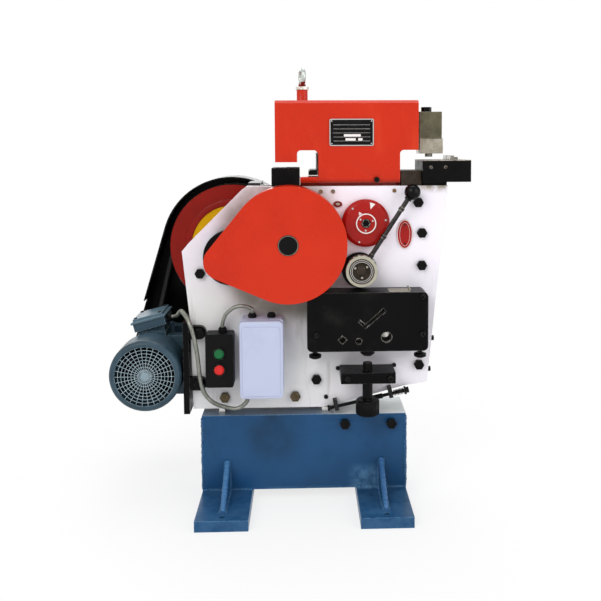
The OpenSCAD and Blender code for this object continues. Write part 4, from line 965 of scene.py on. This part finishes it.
def addShearDetails():
    # a sprung guide strip on the box, rubbed steel rings in its openings, and the grips of the knobs
    low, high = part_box("shear_box")
    top, front = high.z - 0.0005, low.y
    x0, x1, x2 = shear.stripX
    bend, sheet, rise = shear.stripLip
    strip = [(x0, top), (x1, top), (x2, top + bend), (x2, top + rise), (x2 - sheet, top + rise),
        (x2 - sheet, top + sheet), (x0, top + sheet)]
    near, far = (front + y for y in shear.stripY)
    addPiece("guideStrip", prism(strip, near, far), "root", "blockSteel", bevel=0.0005, steps=1)
    rings = [prism(circle(x, z, r + width), front - 0.0007, front + 0.0003, circle(x, z, r))
        for x, z, r, width in shear.bores]
    outer, inner = (circle(*shear.square, reach, 4) for reach in shear.squareReach)
    rings.append(prism(outer, front - 0.0006, front + 0.0003, inner))
    addPiece("holeRings", joined(*rings), "root", "throatSteel", bevel=0.0002, steps=1)
    lips = []
    for start, end, reach in shear.slotLips:
        for side in (-1, 1):
            lip = rectangle(start, side * shear.slotHalf, end, side * reach)
            lips.append(prism(slanted(*shear.slotStart, shear.slotTurn, lip), front - 0.0006, front + 0.0003))
    addPiece("slotLips", joined(*lips), "root", "leverSteel", smoothTo=0)
    addRidges("jackGrip", at(0.15, 0.236, -0.091), "jack_spindle", "screwBlack", "black_steel",
        0.0273, 0.029, 30, 0.003, 0.0006)
    for name, x in thumbGrips.items():
        addRidges(name, at(x, 0.356, -0.079), "root", "screwBlack", "screw_black",
            0.0138, 0.007, 22, 0.002, 0.0006)


# bezel: radius beyond the button and depth behind the cover's face
starter = Sizes(corner=0.011, lip=0.0022, inset=0.0065, headroom=0.006, panelCorner=0.007, panelDepth=0.0032,
    bezel=((0.0006, 0.0005), (0.0006, -0.0014), (0.0012, -0.002), (0.0026, -0.002), (0.0034, -0.0012),
    (0.0034, 0.0005)))
tablePlugs = Sizes(shares=(0.17, 0.47), drop=0.017)


def addStarterDetails():
    # the starter's cover with a raised front panel; button bezels; two plugged bores in the table
    low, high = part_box("starter_cover")
    shell = prism(roundedBox(low.x, low.z, high.x, high.z, starter.corner), low.y + starter.lip, high.y)
    cover = addPiece("starterCover", shell, "root", "palePlastic", bevel=0.0035, steps=3)
    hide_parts("starter_cover")
    inset = starter.inset
    panel = roundedBox(low.x + inset, low.z + inset, high.x - inset, high.z - inset - starter.headroom,
        starter.panelCorner)
    addPiece("starterPanel", prism(panel, low.y, low.y + starter.panelDepth), "root", "palePlastic",
        bevel=0.0018, steps=3)
    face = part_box("button_cover")[0].y
    bezels = []
    for button in ("start_button", "stop_button"):
        low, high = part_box(button)
        middle, r = (low + high) / 2, (high.x - low.x) / 2
        bezels.append(turned([(r + out, face + y) for out, y in starter.bezel], 40, at(middle.x, middle.z)))
    addPiece("buttonBezels", joined(*bezels), "root", "blackPaint")
    low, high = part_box("punch_table")
    plugs = [(low.x + share * (high.x - low.x), low.y, high.z - tablePlugs.drop)
        for share in tablePlugs.shares]
    addScrews("tablePlugs", plugs, "root", "throatSteel", "black_steel", 0.0042, 0.0008, 24, 0.75)


hub = Sizes(x=0.137, z=0.557, pins=(35, 155, 275), pinReach=0.0162, rings=(0.0226, 0.0264),
    ring=((-0.0006, 0.0004), (-0.0006, -0.0004), (0.0006, -0.0004), (0.0006, 0.0004)),
    core=[(0.0, -0.0765), (0.0215, -0.0765), (0.0225, -0.0755), (0.0225, -0.0745), (0.0, -0.0745)],
    boss=[(0.0, -0.0845), (0.0095, -0.0845), (0.0105, -0.0835), (0.0105, -0.0762), (0.0, -0.0762)],
    face=((0.0221, -0.0003), (0.0303, -0.0003), (0.0306, 0.0003), (0.0218, 0.0003)))


def addLeverDetails():
    # ridges round the hub, two rings on its face, and its dark core with a hexagon and three pins
    x, z, place = hub.x, hub.z, at(hub.x, hub.z)
    core = joined(turned(hub.core, 40, place), turned(hub.boss, 6, place))
    addPiece("leverCore", core, "lever_set", "throatSteel", smoothTo=25, bevel=0.0004)
    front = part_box("lever_hub")[0].y
    rings = [turned([(r + out, front + y) for out, y in hub.ring], 64, place) for r in hub.rings]
    addPiece("hubFace", turned([(r, front + y) for r, y in hub.face], 64, place), "lever_set", "throatSteel")
    addPiece("hubRings", joined(*rings), "lever_set", "brightSteel")
    pins = [(px, hub.core[0][1], pz) for px, pz in around(x, z, hub.pinReach, *hub.pins)]
    addScrews("hubPins", pins, "lever_set", "ringSteel", "bright_steel", 0.003, 0.0025, 14, 0.3)
    addRidges("hubRidges", at(x, z, -0.073) @ Matrix.Rotation(math.pi / 2, 4, "X"), "lever_set", "ringSteel",
        "bright_steel", 0.0366, 0.022, 18, 0.0068, 0.0011)


# profiles of radius and depth: the first two start at the flywheel's front, the cap's is in place
drive = Sizes(web=[(0.045, 0.015), (0.06, 0.0135), (0.101, 0.0075), (0.1084, 0.0045), (0.1084, 0.0085),
    (0.101, 0.0115), (0.06, 0.0175), (0.045, 0.019)],
    rim=[(0.1086, 0.0045), (0.1098, 0.003), (0.1245, 0.0022), (0.1262, 0.003), (0.1262, 0.008),
    (0.1086, 0.0095)],
    cap=[(0.0, -0.1228), (0.006, -0.1228), (0.0075, -0.1221), (0.0215, -0.1221), (0.0232, -0.1205),
    (0.0232, -0.116), (0.0, -0.116)], capX=-0.034, capZ=0.624)


def addDriveDetails():
    # the flywheel's dished yellow web, the red face inside its rim, and the black end cap in the guard
    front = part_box("flywheel")[0].y
    disc, face = (turned([(r, front + y) for r, y in profile], 96, at(wheel.x, wheel.z))
        for profile in (drive.web, drive.rim))
    addPiece("webDisc", disc, "flywheel_set", "webYellow")
    addPiece("rimFace", face, "flywheel_set", "flywheelPaint")
    addPiece("shaftCap", turned(drive.cap, 48, at(drive.capX, drive.capZ)), "gear_set", "knobBlack",
        bevel=0.0003, steps=1)


cowl = Sizes(x=-0.377, z=0.308, front=-0.07, back=0.01, radius=0.0859, open=0.071, collar=0.077)
lid = Sizes(tilt=math.radians(15), y=0.074, rise=0.084, top=0.042, screwX=0.031, screwY=0.039)
fan = Sizes(blades=9, sweep=0.55, inner=0.0225, outer=0.066, sheet=0.0011, front=-0.04, back=-0.0015,
    hub=[(0.0122, -0.044), (0.024, -0.044), (0.024, -0.002), (0.068, -0.002), (0.068, 0.0015),
    (0.0122, 0.0015)])


def addMotorDetails():
    # the cowl: a rolled sheet shell with a wire grille in place of its punched front; screws in the box's lid
    x, z, place = cowl.x, cowl.z, at(cowl.x, cowl.z)
    f, b, r, mouth = cowl.front, cowl.back, cowl.radius, cowl.open
    profile = [(cowl.collar, b - 0.004), (cowl.collar, b), (r, b), (r, f + 0.014), (r - 0.0008, f + 0.0075),
        (r - 0.0035, f + 0.003), (r - 0.008, f + 0.0005), (r - 0.012, f), (mouth, f),
        (mouth - 0.0005, f + 0.002), (mouth, f + 0.0035), (r - 0.011, f + 0.004), (r - 0.006, f + 0.006),
        (r - 0.003, f + 0.012), (r - 0.003, b - 0.004)]
    shell = addPiece("fanCowl", turned(profile, 96, place), "root", "motorPaint")
    # the wires in a pale paint that paints their highlights
    wireGrille.grow("fanGrille", pathMesh([(0, 0, 0)]), "root", "grilleSteel", "cowl_grey",
        place=at(x, z, f + 0.0022) @ Matrix.Rotation(math.pi / 2, 4, "X"),
        Reach=mouth + 0.0006, Rings=9, Spokes=30, Wire=0.0008, Dome=0.0006)
    boss = [(0.0, f + 0.0004), (0.0075, f + 0.0004), (0.009, f + 0.0014), (0.009, f + 0.003),
        (0.0, f + 0.003)]
    addPiece("grilleBoss", turned(boss, 32, place), "root", "grilleSteel", bevel=0.0003, steps=1)
    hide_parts("motor_cowl")
    blades = addPiece("fanBlades", fanShape(x, z), "motor_rotor", "darkPlastic",
        bevel=0.0004, steps=1)
    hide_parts("motor_fan")
    top = at(x, z + lid.rise, lid.y) @ Matrix.Rotation(-lid.tilt, 4, "Y")
    corners = [tuple(top @ Vector((i * lid.screwX, j * lid.screwY, lid.top)))
        for i in (-1, 1) for j in (-1, 1)]
    addScrews("lidScrews", corners, "root", "screwBlack", "cowl_grey", 0.0042, 0.0026, 16, 0.45,
        facing=(0.0, -lid.tilt, 0.0))


def fanShape(x, z, steps=6):
    # curved blades on a back plate, and a hub that leaves a gap for the shaft's sleeve
    shapes = [turned(fan.hub, 56, at(x, z))]
    for blade in range(fan.blades):
        line = []
        for step in range(steps + 1):
            t = step / steps
            a = 2 * math.pi * blade / fan.blades + fan.sweep * t * t
            r = fan.inner + (fan.outer - fan.inner) * t
            line.append((x + r * math.cos(a), z + r * math.sin(a)))
        edge = [(px + fan.sheet, pz + fan.sheet) for px, pz in reversed(line)]
        shapes.append(prism(line + edge, fan.front, fan.back))
    return joined(*shapes)


studio = Sizes(ambient=0.42, floorHalf=30, floorShade=0.95, shadowFrom=0.3, shadowTo=1.0, whiteNear=0.76)


def seenDirectly(tree):
    # 1 for the camera, for mirrors and for glass, 0 for light that falls on the object
    rays = tree.nodes.new("ShaderNodeLightPath").outputs
    camera, glossy, through = (
        Wire(tree, rays[f"Is {kind} Ray"]) for kind in ("Camera", "Glossy", "Transmission"))
    return (camera + glossy + through) > 0.5


def addFloor():
    # pale paper that keeps the object's shadow near its feet, under a white world
    half, shade, near = studio.floorHalf, studio.floorShade, studio.whiteNear
    mesh = bpy.data.meshes.new("floor")
    mesh.from_pydata([(x, z, 0) for x, z in rectangle(-half, -half, half, half)], [], [(0, 1, 2, 3)])
    floor = added("floor", mesh)
    f = Finish("floorPaper", None, Base_Color=(shade, shade, shade, 1), Roughness=0.9, Specular_IOR_Level=0.1)
    tree = f.material.node_tree
    far = (f.x * f.x + f.y * f.y).root().clip(studio.shadowFrom, studio.shadowTo)
    white = f.place.add("ShaderNodeEmission", {"Color": (1, 1, 1, 1), "Strength": 1.0})
    mixed = f.place.add("ShaderNodeMixShader", {
        0: seenDirectly(tree) * (far * (1 - near) + near), 1: Wire(tree, f.shader.outputs[0]), 2: white})
    tree.links.new(mixed.socket, tree.nodes["Material Output"].inputs["Surface"])
    mesh.materials.append(f.material)
    world = bpy.data.worlds.new("studio")
    bpy.context.scene.world = world
    world.use_nodes = True
    sky = world.node_tree
    strength = seenDirectly(sky) * (1 - studio.ambient) + studio.ambient
    sky.links.new(strength.socket, sky.nodes["Background"].inputs["Strength"])
    sky.nodes["Background"].inputs["Color"].default_value = (1, 1, 1, 1)
    bpy.context.scene.view_settings.view_transform = "Standard"


addConduits()
dressNodes()
addStandDetails()
addHeadDetails()
addCapMarks()
addBadgeMarks()
addPlateFittings()
addShearDetails()
addStarterDetails()
addLeverDetails()
addDriveDetails()
addMotorDetails()
print("details added")
addCamera()
addLamps()
addFloor()
print("stage set")
